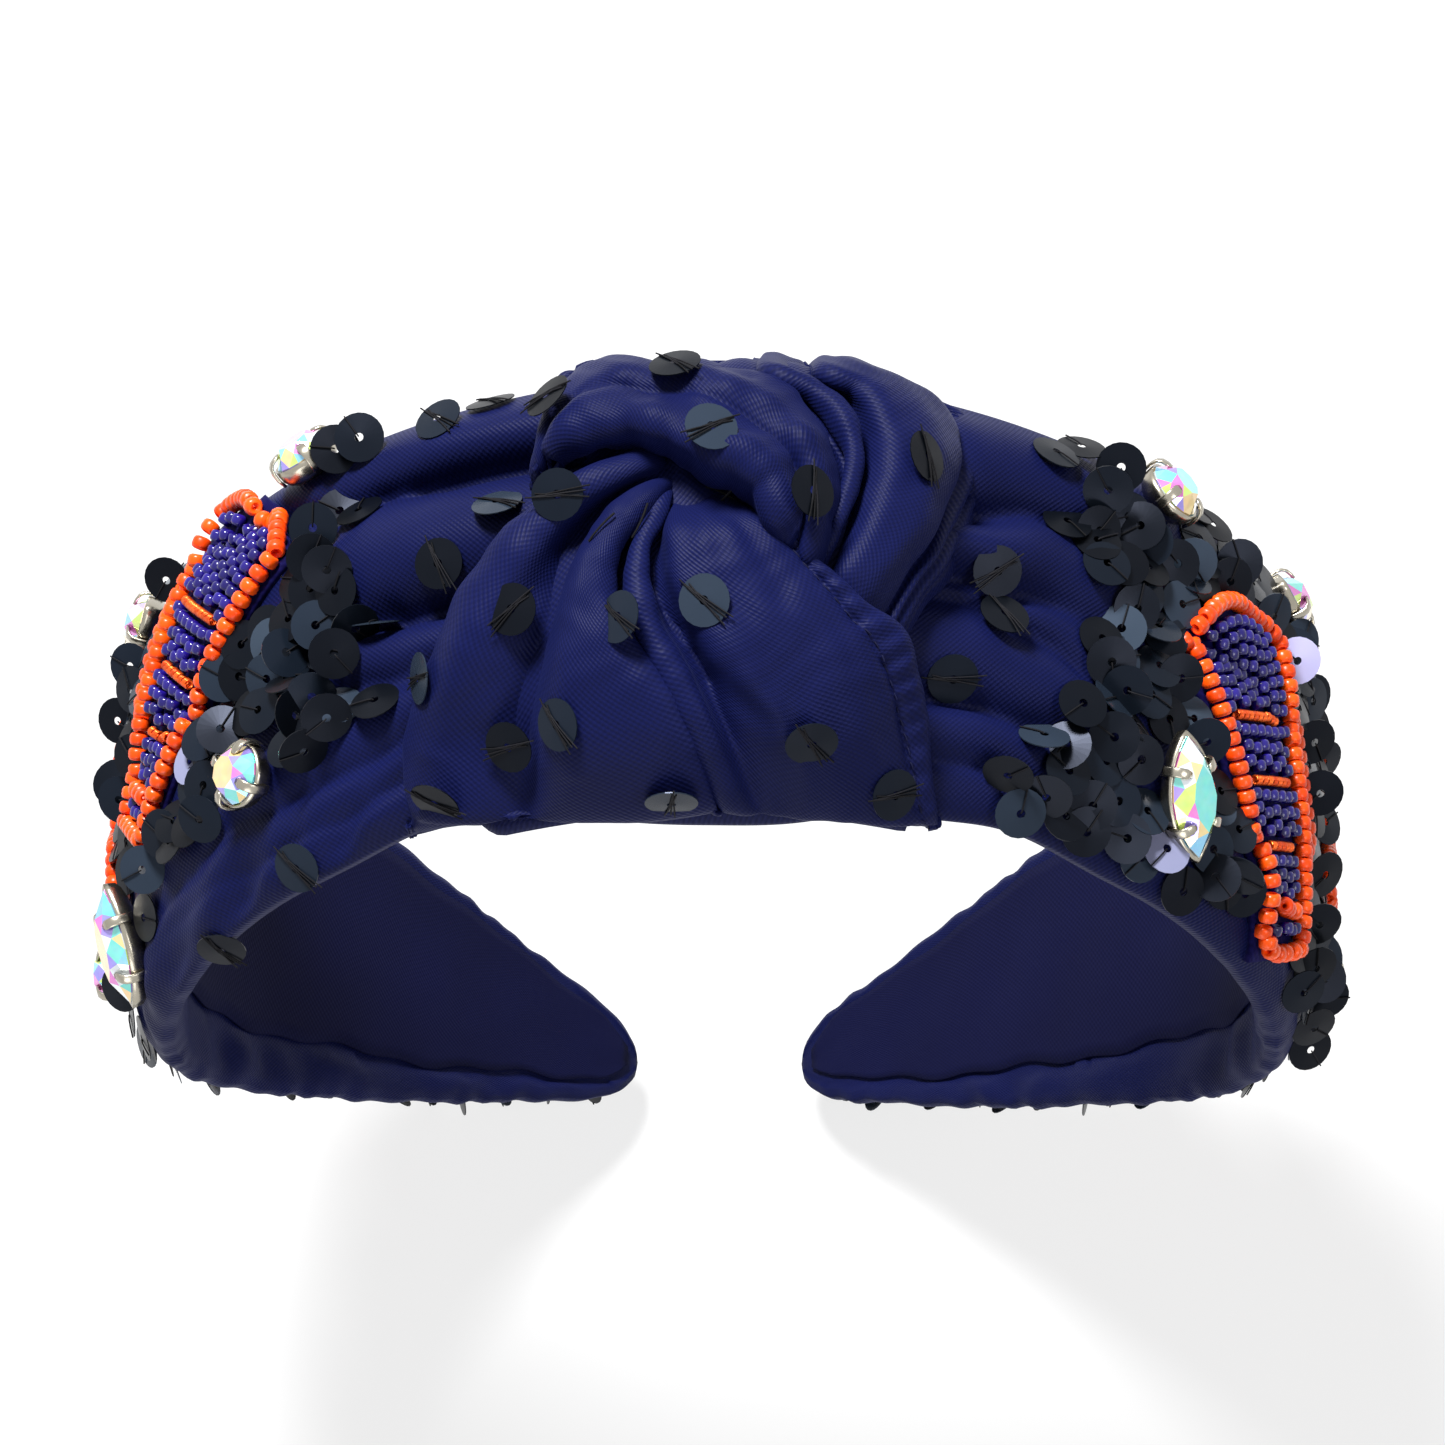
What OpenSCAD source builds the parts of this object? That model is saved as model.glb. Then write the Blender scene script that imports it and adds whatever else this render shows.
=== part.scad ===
// Knotted padded hairband with bead patches, sequins and prong-set stones
// Frame: +Z up over the crown, -Y towards the face, origin on the axis of the crown arc

/* [Hoop] */
// Inner radius over the crown
crown_r = 66; // [60:0.5:72]
// Half angle of the crown arc, each side of the middle
crown_turn = 75; // [68:1:80]
// Inner radius of the bend beside the ear
side_r = 50; // [44:1:58]
// Angle turned by the side bend
side_turn = 50; // [44:1:54]
// Inner radius of the long arm that ends at the tip
arm_r = 285; // [220:5:400]
// Angle turned by the arm
arm_turn = 13.5; // [10:0.25:14]
// Thickness of the flexible plastic hoop
core_t = 1.8; // [1:0.1:2.6]
// Inset of the hoop from the edge of the band
core_inset = 3; // [2:0.25:5]

/* [Band edges] */
// Front edge ahead of the axis at the crown
front_crown = 25.5; // [23:0.5:28]
// Front edge a quarter of the way down the arm
front_brow = 30; // [27:0.5:33]
// Front edge half way down the arm
front_ear = 37; // [33:0.5:41]
// Front edge three quarters of the way down the arm
front_arm = 30.5; // [26:0.5:34]
// Front edge at the tip
front_tip = 20; // [18:0.5:23]
// Back edge behind the axis at the crown
back_crown = 25; // [21:0.5:28]
// Back edge a quarter of the way down the arm
back_brow = 21.5; // [18:0.5:25]
// Back edge half way down the arm
back_ear = 15.5; // [12:0.5:19]
// Back edge three quarters of the way down the arm
back_arm = 7.5; // [4:0.5:11]
// Back edge at the tip, ahead of the axis
back_tip = 9.5; // [8:0.5:12]

/* [Fabric and padding] */
// Thickness of the lining and of the folded cover
cloth_t = 0.6; // [0.4:0.05:0.9]
// Height of the cover's edge over the inner face
edge_h = 3.6; // [3:0.1:4.5]
// Rise of the padded middle over the edge
pad_rise = 3.4; // [2:0.1:5]
// Width of the cover folded to the inside
fold_w = 7; // [5:0.5:9]
// Air left between layers that lie on each other
layer_gap = 0.15; // [0.1:0.05:0.3]
// Number of gathers drawn in beside the knot
gathers = 5; // [3:1:7]
// Height of a gather
gather_h = 0.9; // [0.4:0.1:1.4]
// Length over which the gathers fade
gather_run = 18; // [10:1:26]

/* [Knot] */
// Reach of the knot to the left of the middle
knot_left = 34; // [30:0.5:36]
// Reach of the knot to the right of the middle
knot_right = 28; // [25:0.5:31]
// Reach of the knot towards the face
knot_front = 28; // [25:0.5:30]
// Reach of the knot towards the back
knot_back = 26; // [25:0.25:28]
// Rise of the knot over the band
knot_rise = 14; // [10:0.5:18]
// Gap between the folded layers of the knot
knot_gap = 0.4; // [0.3:0.05:0.7]
// Depth of the pleats in the knot
pleat_h = 1.3; // [0.6:0.1:1.8]

/* [Trim] */
// Outer diameter of a seed bead
bead_d = 1.9; // [1.6:0.05:2]
// Length of a seed bead along its thread
bead_l = 1.2; // [1:0.05:1.25]
// Hole of a seed bead
bead_hole = 0.6; // [0.4:0.05:0.8]
// Spacing of beads along a thread
bead_pitch = 1.3; // [1.28:0.01:1.5]
// Spacing of the rows that fill a patch
row_pitch = 2.05; // [2.02:0.01:2.3]
// Thickness of the felt behind a bead patch
felt_t = 0.8; // [0.5:0.05:1.2]
// Diameter of a sequin
sequin_d = 5.8; // [5:0.1:6.2]
// Hole of a sequin
sequin_hole = 1; // [0.6:0.1:1.4]
// Thickness of a sequin
sequin_t = 0.15; // [0.1:0.01:0.2]
// Diameter of a round stone
stone_d = 7; // [6:0.1:8]
// Length of a pointed oval stone
navette_l = 14; // [12:0.25:16]
// Width of a pointed oval stone
navette_w = 6.4; // [5:0.1:8]
// Sheet thickness of a stone's setting
setting_t = 0.5; // [0.3:0.05:0.7]
// Depth of a stone's setting
setting_h = 2.6; // [2:0.1:3.2]
// Diameter of the wound wire trim
wire_d = 1.1; // [0.8:0.05:1.4]

/* [Hidden] */
right = 1;
left = -1;
navy = "#20286b";
navy_dark = "#17193f";
orange = "#ff5a0a";
bead_navy = "#1b1670";
silver = "#c9ccd2";
crystal = "#cfe6e8";
sequin_navy = "#1a1e2e";

// Seat of each layer, measured outwards from the inner face
core_in = cloth_t + layer_gap;
core_out = core_in + core_t;
seat_gap = 0.3;

// Lengths along the inner face
crown_len = crown_r * crown_turn * PI / 180;
side_len = side_r * side_turn * PI / 180;
arm_len = arm_r * arm_turn * PI / 180;
half_len = crown_len + side_len + arm_len;
side_c = (crown_r - side_r) * [sin(crown_turn), cos(crown_turn)];
bend_turn = crown_turn + side_turn;
arm_c = side_c + (side_r - arm_r) * [sin(bend_turn), cos(bend_turn)];
tip_turn = bend_turn + arm_turn;

// Centre, radius and heading of the inner face at a distance from the crown
function arc_at(u) = u < crown_len ? [[0, 0], crown_r, u / crown_r * 180 / PI]
  : u < crown_len + side_len ? [side_c, side_r, crown_turn + (u - crown_len) / side_r * 180 / PI]
  : [arm_c, arm_r, bend_turn + (u - crown_len - side_len) / arm_r * 180 / PI];
function heading(u) = arc_at(u)[2];
function band_point(side, u, y, h) =
  let (a = arc_at(u), p = a[0] + (a[1] + h) * [sin(a[2]), cos(a[2])])
  [side * p[0], y, p[1]];

// Smooth curve through five evenly spaced stations, level at the crown
function spline4(p, t) =
  ((-p[0] + 3 * p[1] - 3 * p[2] + p[3]) * t * t * t
   + (2 * p[0] - 5 * p[1] + 4 * p[2] - p[3]) * t * t
   + (p[2] - p[0]) * t + 2 * p[1]) / 2;
function stations(v, u) =
  let (f = min(u / half_len, 0.9999) * 4, i = floor(f), n = len(v),
       before = i == 0 ? v[1] : v[i - 1],
       after = i + 2 > n - 1 ? 2 * v[n - 1] - v[n - 2] : v[i + 2])
  spline4([before, v[i], v[i + 1], after], f - i);
front_v = -[front_crown, front_brow, front_ear, front_arm, front_tip];
back_v = [back_crown, back_brow, back_ear, back_arm, -back_tip];
function front_y(u) = stations(front_v, u);
function back_y(u) = stations(back_v, u);
function mid_y(u) = (front_y(u) + back_y(u)) / 2;
function half_w(u) = (back_y(u) - front_y(u)) / 2;

// Outer face of the cover over the inner face, by its place across the band
function crown_share(s) = abs(s) >= 1 ? 0 : pow(1 - s * s, 0.8);
function outer_h(u, y) = edge_h + pad_rise * crown_share((y - mid_y(u)) / half_w(u));
function slope(u, y) = atan((outer_h(u, y + 0.2) - outer_h(u, y - 0.2)) / 0.4);

// Stand a piece on the cover, its Z outwards and its X along the arm
module on_band(side, u, y, lift = 0, spin = 0) {
  translate(band_point(side, u, y, outer_h(u, y) + lift))
    rotate([0, side * heading(u), 0])
      rotate([slope(u, y), 0, 0])
        rotate([0, 0, spin])
          children();
}

// Triangles of a tube of rings, with both ends closed by a fan or a strip
function strip_faces(m, n) = [
  for (i = [0 : n - 2]) for (j = [0 : m - 1])
    each [[i * m + j, i * m + (j + 1) % m, (i + 1) * m + j],
          [i * m + (j + 1) % m, (i + 1) * m + (j + 1) % m, (i + 1) * m + j]]
];
function end_faces(m, first, flip) = [
  for (j = [0 : m / 2 - 2])
    each let (a = first + j, b = first + j + 1, c = first + m - 1 - j, d = first + m - 2 - j)
      flip ? [[a, c, b], [b, c, d]] : [[a, b, c], [b, d, c]]
];
module skin(rings, flip) {
  m = len(rings[0]);
  n = len(rings);
  faces = concat(strip_faces(m, n), end_faces(m, 0, true), end_faces(m, (n - 1) * m, false));
  polyhedron([for (r = rings) each r], flip ? [for (f = faces) [f[0], f[2], f[1]]] : faces);
}

// Outline of the band seen from the side, inset from both edges
outline_steps = 16;
tip_strip = 0.9;
function inset_at(u, edge_in) = min(edge_in, half_w(u) - tip_strip);
function side_outline(edge_in) = concat(
  [[front_y(0) + edge_in, crown_r * 2]],
  [for (i = [0 : outline_steps]) let (u = half_len * i / outline_steps)
    [front_y(u) + inset_at(u, edge_in), band_point(right, u, 0, 0)[2]]],
  [for (i = [outline_steps : -1 : 0]) let (u = half_len * i / outline_steps)
    [back_y(u) - inset_at(u, edge_in), band_point(right, u, 0, 0)[2]]],
  [[back_y(0) - edge_in, crown_r * 2]]);

// A layer of even thickness that follows the three arcs of both arms
module arc_layer(h_in, h_out, end_in) {
  depth = 2 * (front_ear + back_brow);
  module sector(c, r, from, to)
    translate([c[0], depth / 2, c[1]])
      rotate([90, 0, 0])
        rotate([0, 0, 90 - to])
          rotate_extrude(angle = to - from, $fn = 180)
            translate([r + h_in, 0])
              square([h_out - h_in, depth]);
  end_turn = tip_turn - end_in / arm_r * 180 / PI;
  module half() {
    sector(side_c, side_r, crown_turn, bend_turn);
    sector(arm_c, arm_r, bend_turn, end_turn);
  }
  sector([0, 0], crown_r, -crown_turn, crown_turn);
  half();
  mirror([1, 0, 0]) half();
}
module band_layer(h_in, h_out, edge_in, end_in) {
  span = 4 * crown_r;
  intersection() {
    arc_layer(h_in, h_out, end_in);
    translate([-span / 2, 0, 0])
      rotate([90, 0, 90])
        linear_extrude(span)
          polygon(side_outline(edge_in));
  }
}
tip_in = 1.6;
module hoop_core() {
  color("#e8e6e0") band_layer(core_in, core_out, core_inset, tip_in);
}
lining_in = fold_w + seat_gap;
module lining() {
  color(navy_dark) band_layer(0, cloth_t, lining_in, tip_in);
}

// Padding between the hoop and the cover of one arm
pad_from = 3;
pad_steps = 24;
pad_across = 9;
function pad_ring(side, u) =
  let (w = half_w(u) - core_inset, c = mid_y(u))
  concat(
    [for (j = [0 : pad_across]) let (y = c + w * (2 * j / pad_across - 1))
      band_point(side, u, y, core_out + seat_gap)],
    [for (j = [pad_across : -1 : 0]) let (y = c + w * (2 * j / pad_across - 1))
      band_point(side, u, y, max(outer_h(u, y) - cloth_t - layer_gap, core_out + seat_gap + layer_gap))]);
module padding(side) {
  span = half_len - tip_in - pad_from;
  color("#efece4")
    skin([for (i = [0 : pad_steps]) pad_ring(side, pad_from + span * i / pad_steps)], side < 0);
}
module padding_left() padding(left);
module padding_right() padding(right);

// Cover of one arm: a folded sheet, gathered where it leaves the knot
cover_from = 0.15;
cover_steps = 24;
cover_across = 20;
function gather_at(side, u, s) =
  let (start = side > 0 ? knot_right : knot_left, d = u - start)
  d < 0 ? 0 : gather_h * exp(-d / gather_run) * (1 - s * s) * (0.5 + 0.5 * cos(360 * gathers * (s + 1) / 2));
function cover_outer(side, u) =
  let (w = half_w(u), c = mid_y(u))
  [for (j = [0 : cover_across]) let (s = 2 * j / cover_across - 1, y = c + w * s)
    band_point(side, u, y, outer_h(u, y) + gather_at(side, u, s))];
function cover_inner(side, u) =
  let (w = half_w(u) - cloth_t, c = mid_y(u))
  [for (j = [0 : 2 : cover_across]) let (s = 2 * j / cover_across - 1, y = c + w * s)
    band_point(side, u, y, max(outer_h(u, y) - cloth_t, core_out + layer_gap))];
function cover_ring(side, u) =
  let (w = half_w(u), c = mid_y(u), fold = inset_at(u, lining_in) - seat_gap)
  concat(
    [band_point(side, u, c - w + fold, 0), band_point(side, u, c - w, 0)],
    cover_outer(side, u),
    [band_point(side, u, c + w, 0), band_point(side, u, c + w - fold, 0)],
    [band_point(side, u, c + w - fold, cloth_t), band_point(side, u, c + w - cloth_t, cloth_t)],
    [for (p = [len(cover_inner(side, u)) - 1 : -1 : 0]) cover_inner(side, u)[p]],
    [band_point(side, u, c - w + cloth_t, cloth_t), band_point(side, u, c - w + fold, cloth_t)]);
// Sewn end that closes the cover past the tip of the hoop
cap_l = 1.6;
cap_across = 10;
function cap_ring(side, past, share) =
  let (u = half_len + past, c = mid_y(u), w = half_w(u) * share, h = edge_h / 2)
  concat(
    [for (j = [0 : cap_across]) band_point(side, u, c + w * (2 * j / cap_across - 1), h - h * share)],
    [for (j = [cap_across : -1 : 0]) let (y = c + w * (2 * j / cap_across - 1))
      band_point(side, u, y, h + (outer_h(u, y) - h) * share)]);
module cover(side) {
  span = half_len - cover_from;
  color(navy) {
    skin([for (i = [0 : cover_steps]) cover_ring(side, cover_from + span * i / cover_steps)], side > 0);
    skin([cap_ring(side, layer_gap / 2, 1), cap_ring(side, cap_l / 2, 0.94), cap_ring(side, cap_l, 0.6)],
      side < 0);
  }
}
module cover_left() cover(left);
module cover_right() cover(right);

// Knot: folded layers laid as turns of a spiral over the crown
knot_c = [0, 3];
knot_twist = 40;
function knot_reach(a) =
  let (x = cos(a) > 0 ? knot_right : knot_left,
       y = sin(a) > 0 ? knot_back - knot_c[1] : knot_front + knot_c[1])
  1 / pow(pow(abs(cos(a)) / x, 2.6) + pow(abs(sin(a)) / y, 2.6), 1 / 2.6);
function crown_outer(x, y) =
  let (u = asin(min(abs(x) / (crown_r + edge_h), 0.95)) * PI / 180 * crown_r)
  let (h = crown_r + max(outer_h(u, y), edge_h))
  sqrt(h * h - x * x);
function knot_low(x, y) = crown_outer(x, min(max(y, front_y(0)), back_y(0))) + seat_gap;
// A layer is its first and last angle, its number of pleats and the droop of its rolled edges
fan = [158, 268, 4.5, 2];
flap = [268, 318, 0.5, 1.2];
side_rolls = [318, 420, 3, 2.5];
top_loop = [420, 518, 1, 3];
// Place and height on a layer: f is the share of the reach, g the place across it
knot_eye = 0.06;
cloth_edge = 1;
function fold_lift(layer, f, g) =
  knot_rise * pow(1 - pow(f, 2.4), 0.55)
  - layer[3] * pow(abs(2 * g - 1), 3) * (1 - 0.6 * f)
  + pleat_h * (0.25 + 0.75 * f) * (1 - f * f * f) * sin(360 * layer[2] * g);
function knot_spot(layer, f, g) =
  let (a = layer[0] + (layer[1] - layer[0]) * g + knot_twist * (1 - f),
       edge = knot_gap / 2 / max(f * knot_reach(a), 1) * 180 / PI,
       b = a + edge * (1 - 2 * g), r = f * knot_reach(b))
  knot_c + r * [cos(b), sin(b)];
function knot_under(layer, f, g) =
  let (p = knot_spot(layer, f, g)) [p[0], p[1], knot_low(p[0], p[1])];
function knot_top(layer, f, g) =
  knot_under(layer, f, g) + [0, 0, cloth_edge + max(fold_lift(layer, f, g), 0)];
knot_out = 8;
module knot_layer(layer, across) {
  rings = [for (i = [0 : knot_out]) let (f = knot_eye + (1 - knot_eye) * sin(90 * i / knot_out))
    concat([for (j = [0 : across]) knot_top(layer, f, j / across)],
           [for (j = [across : -1 : 0]) knot_under(layer, f, j / across)])];
  color(navy) skin(rings, false);
}
module knot_fan() knot_layer(fan, 26);
module knot_flap() knot_layer(flap, 12);
module knot_side_rolls() knot_layer(side_rolls, 20);
module knot_top_loop() knot_layer(top_loop, 16);

// Bead patches: drawn flat, then laid on the band
function turned(p, a) = [p[0] * cos(a) - p[1] * sin(a), p[0] * sin(a) + p[1] * cos(a)];
// A patch is its place along the arm, its place across from the middle and its turn
megaphone_right_at = [75, -22.5, 113];
megaphone_left_at = [79, -7.7, 130];
function megaphone_at(side) = side > 0 ? megaphone_right_at : megaphone_left_at;
hand_at = [106, 8, 0];
pompom_at = [137, 0, 0];
function laid(at, p) = let (q = turned(p, at[2])) [at[0] + q[0], at[1] + q[1]];
function band_y(q) = mid_y(q[0]) + q[1];

// Distance from a point to a line between two others, and to a closed outline
function seg_dist(p, a, b) =
  let (d = b - a, t = max(0, min(1, (p - a) * d / (d * d)))) norm(p - a - t * d);
function outline_dist(p, v) = min([for (i = [0 : len(v) - 1]) seg_dist(p, v[i], v[(i + 1) % len(v)])]);
function crossings(p, v) = [for (i = [0 : len(v) - 1])
  let (a = v[i], b = v[(i + 1) % len(v)])
  if ((a[1] > p[1]) != (b[1] > p[1]) && p[0] < a[0] + (b[0] - a[0]) * (p[1] - a[1]) / (b[1] - a[1])) 1];
function inside(p, v) = len(crossings(p, v)) % 2 == 1;

// Points and directions at even steps along a line through given points
function run_lengths(v) = [for (i = 0, s = 0; i < len(v); s = s + (i + 1 < len(v) ? norm(v[i + 1] - v[i]) : 0), i = i + 1) s];
function point_at(v, runs, s) =
  let (i = max([for (k = [0 : len(v) - 2]) if (runs[k] <= s) k]), d = v[i + 1] - v[i])
  [v[i] + d / norm(d) * (s - runs[i]), atan2(d[1], d[0])];
function strung(v, from, to) =
  let (runs = run_lengths(v), total = runs[len(v) - 1] - from - to, n = floor(total / bead_pitch + 0.001))
  n < 1 ? [] : [for (i = [0 : n - 1]) point_at(v, runs, from + (i + 0.5) * total / n)];
// Length kept free at a corner so that the beads of two runs don't touch
corner_air = 0.08;
function corner_in(p, a, b) =
  let (c = (a - p) * (b - p) / norm(a - p) / norm(b - p)) bead_d / 2 / tan(acos(c) / 2) + corner_air;
function run_ends(runs, i, looped) =
  let (n = len(runs), r = runs[i], m = len(r), q = runs[(i + n - 1) % n], t = runs[(i + 1) % n])
  [looped || i > 0 ? corner_in(r[0], r[1], q[len(q) - 2]) : 0,
   looped || i < n - 1 ? corner_in(r[m - 1], r[m - 2], t[1]) : 0];

module bead() {
  bevel = bead_d / 5;
  rotate([0, 90, 0])
    rotate_extrude($fn = 20)
      polygon([[bead_hole / 2, -bead_l / 2], [bead_d / 2 - bevel, -bead_l / 2],
               [bead_d / 2, -bead_l / 2 + bevel], [bead_d / 2, bead_l / 2 - bevel],
               [bead_d / 2 - bevel, bead_l / 2], [bead_hole / 2, bead_l / 2]]);
}
module bead_string(side, at, v, lift, ends = [0, 0]) {
  for (b = strung(v, ends[0], ends[1])) {
    q = laid(at, b[0]);
    on_band(side, q[0], band_y(q), lift + bead_d / 2, side * (at[2] + b[1]))
      bead();
  }
}
module bead_runs(side, at, runs, lift, looped) {
  for (i = [0 : len(runs) - 1]) bead_string(side, at, runs[i], lift, run_ends(runs, i, looped));
}
module bead_rows(side, at, v, clear, bars) {
  xs = [for (p = v) p[0]];
  ys = [for (p = v) p[1]];
  for (y = [min(ys) + bead_d : row_pitch : max(ys)])
    for (x = [min(xs) : bead_pitch : max(xs)])
      if (inside([x, y], v) && outline_dist([x, y], v) > clear
          && len([for (b = bars) if (seg_dist([x, y], b[0], b[1]) < b[2]) 1]) == 0) {
        q = laid(at, [x, y]);
        on_band(side, q[0], band_y(q), felt_seat + bead_d / 2, side * at[2])
          bead();
      }
}
felt_seat = seat_gap + felt_t + layer_gap;

// Felt plate that follows the band under a patch, made in strips across its outline
module felt(side, at, v, grow, steps) {
  xs = [for (p = v) p[0]];
  x0 = min(xs) - grow;
  x1 = max(xs) + grow;
  function hits(x) = [for (i = [0 : len(v) - 1])
    let (a = v[i], b = v[(i + 1) % len(v)])
    if ((a[0] > x) != (b[0] > x)) a[1] + (b[1] - a[1]) * (x - a[0]) / (b[0] - a[0])];
  function span(x) = let (h = hits(min(max(x, min(xs) + 0.05), max(xs) - 0.05))) [min(h) - grow, max(h) + grow];
  function put(x, y, h) =
    let (q = laid(at, [x, y]), yy = band_y(q)) band_point(side, q[0], yy, outer_h(q[0], yy) + h);
  across = 6;
  rings = [for (i = [0 : steps]) let (x = x0 + (x1 - x0) * i / steps, s = span(x))
    concat([for (j = [0 : across]) put(x, s[0] + (s[1] - s[0]) * j / across, seat_gap)],
           [for (j = [across : -1 : 0]) put(x, s[0] + (s[1] - s[0]) * j / across, seat_gap + felt_t)])];
  skin(rings, side > 0);
}

// Megaphone: a cone with a round bell, a mouthpiece line, a handle and wire stripes
horn_l = 34;
horn_mouth = 4.3;
horn_bell = 10.4;
bell_bulge = 3.4;
bell_steps = 16;
bell_r = (horn_bell * horn_bell + bell_bulge * bell_bulge) / 2 / bell_bulge;
bell_turn = asin(horn_bell / bell_r);
bell = [for (i = [0 : bell_steps]) let (a = bell_turn * (2 * i / bell_steps - 1))
  [horn_l + bell_bulge - bell_r + bell_r * cos(a), bell_r * sin(a)]];
mouth = [[0, horn_mouth], [0, -horn_mouth]];
horn = concat(mouth, bell);
horn_runs = [mouth, [mouth[1], bell[0]], bell, [bell[bell_steps], mouth[0]]];
function horn_half(x) = horn_mouth + (horn_bell - horn_mouth) * x / horn_l;
mouth_line = 4.2;
handle = [[26, -horn_half(26) - bead_d], [25, -horn_half(25) - 2 * bead_d - 0.3],
          [12.5, -horn_half(12.5) - 2 * bead_d - 1], [9.5, -horn_half(9.5) - bead_d]];
handle_runs = [for (i = [0 : 2]) [handle[i], handle[i + 1]]];
stripes = [for (x = [11, 18, 25]) [[x, -horn_half(x) + 3.4], [x, horn_half(x) - 3.4], 1.5]];
module wire_bars(side, at, bars) {
  for (b = bars) {
    d = b[1] - b[0];
    n = ceil(norm(d) / 3);
    for (i = [0 : n - 1]) {
      q = laid(at, b[0] + d * (i + 0.5) / n);
      on_band(side, q[0], band_y(q), felt_seat + wire_d / 2, side * (at[2] + atan2(d[1], d[0])))
        rotate([0, 90, 0])
          cylinder(d = wire_d, h = norm(d) / n - layer_gap, center = true, $fn = 20);
    }
  }
}
module megaphone_felt(side) color(bead_navy) felt(side, megaphone_at(side), horn, bead_d / 2, 12);
module megaphone_outline(side) {
  color(orange) {
    bead_runs(side, megaphone_at(side), horn_runs, felt_seat, true);
    bead_string(side, megaphone_at(side),
      [[mouth_line, horn_half(mouth_line) - bead_d], [mouth_line, bead_d - horn_half(mouth_line)]], felt_seat);
    bead_runs(side, megaphone_at(side), handle_runs, seat_gap, false);
  }
}
module megaphone_field(side)
  color(bead_navy)
    bead_rows(side, megaphone_at(side), horn, bead_d + layer_gap,
      concat(stripes, [[[mouth_line, -horn_bell], [mouth_line, horn_bell], bead_d * 0.9]]));
module megaphone_wire(side) color("#e04a10") wire_bars(side, megaphone_at(side), stripes);
module megaphone_felt_left() megaphone_felt(left);
module megaphone_felt_right() megaphone_felt(right);
module megaphone_outline_left() megaphone_outline(left);
module megaphone_outline_right() megaphone_outline(right);
module megaphone_field_left() megaphone_field(left);
module megaphone_field_right() megaphone_field(right);
module megaphone_wire_left() megaphone_wire(left);
module megaphone_wire_right() megaphone_wire(right);

// Foam hand: a pointing finger below, folded fingers above and a cuff
hand = [[-15, -17], [-1, -14.5], [9, -11], [14, -4], [13, 4.5], [9.5, 9], [0.5, 6.5], [-9.5, 6.5], [-9.5, -8], [-14, -11.5]];
hand_runs = [for (i = [0 : len(hand) - 1]) [hand[i], hand[(i + 1) % len(hand)]]];
finger_lines = [[[-7.5, 1.8], [0, 1.8]], [[-7.5, -3.2], [0, -3.2]]];
cuff_bars = [[[4.5, -7], [6, 3.5], 1.6], [[8, -6], [9, 3], 1.6]];
module hand_felt(side) color(bead_navy) felt(side, hand_at, hand, bead_d / 2, 12);
module hand_outline(side) {
  color(orange) {
    bead_runs(side, hand_at, hand_runs, felt_seat, true);
    for (l = finger_lines) bead_string(side, hand_at, l, felt_seat);
  }
}
module hand_field(side)
  color(bead_navy)
    bead_rows(side, hand_at, hand, bead_d + layer_gap,
      concat(cuff_bars, [for (l = finger_lines) [l[0], l[1], bead_d]]));
module hand_wire(side) color(silver) wire_bars(side, hand_at, cuff_bars);
module hand_felt_left() hand_felt(left);
module hand_felt_right() hand_felt(right);
module hand_outline_left() hand_outline(left);
module hand_outline_right() hand_outline(right);
module hand_field_left() hand_field(left);
module hand_field_right() hand_field(right);
module hand_wire_left() hand_wire(left);
module hand_wire_right() hand_wire(right);

// Pom-pom: curved strands of beads, one colour laid over the other
strands = 9;
strand_in = 3.4;
strand_out = 11.5;
strand_curl = 3.2;
function strand(a) = [for (r = [strand_in : 1.35 : strand_out])
  [r * cos(a + strand_curl * r), r * sin(a + strand_curl * r)]];
module strand_set(side, phase, lift, reach) {
  for (i = [0 : strands - 1])
    bead_string(side, pompom_at, [for (p = strand(360 / strands * i + phase)) p * reach], lift);
}
module pompom_orange(side) color(orange) strand_set(side, 8, seat_gap + 0.9, 1);
module pompom_navy(side) color(bead_navy) strand_set(side, 28, seat_gap, 1.02);
module pompom_orange_left() pompom_orange(left);
module pompom_orange_right() pompom_orange(right);
module pompom_navy_left() pompom_navy(left);
module pompom_navy_right() pompom_navy(right);

// Stones: place along the arm, place across from the middle and turn
rounds_right = [[51, 21, 0], [100.5, -15.5, 20], [127.7, 20.5, 0], [149, 16, 0]];
// The round stone beside the left bell keeps its distance from it
bell_clear = 1.2;
bell_along = 4;
bell_round = laid(megaphone_left_at,
  [horn_l + bell_bulge + (bead_d + stone_d) / 2 + setting_t + bell_clear, bell_along]);
rounds_left = [[bell_round[0], bell_round[1], 0], [53, -13, 0], [100.5, -15.5, 20], [127.7, 20.5, 0], [149, 16, 0]];
navettes_right = [[84, 24.5, 12], [51, -15, -58], [117.4, -10.2, 45]];
navettes_left = [[88, 23, 12], [85.5, -18, -60], [117.4, -10.2, 45]];
crown_h = 1.9;
girdle_h = 0.4;
stone_gap = 0.1;
stone_facets = 30;
function oval_r(l, w) = (l * l + w * w) / (4 * w);
module oval(l, w, facets = 90) {
  r = oval_r(l, w);
  intersection() {
    translate([0, r - w / 2]) circle(r, $fn = facets);
    translate([0, w / 2 - r]) circle(r, $fn = facets);
  }
}
module each_stone(side, spots) {
  for (s = spots)
    on_band(side, s[0], mid_y(s[0]) + s[1], seat_gap, side * s[2])
      children();
}
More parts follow.
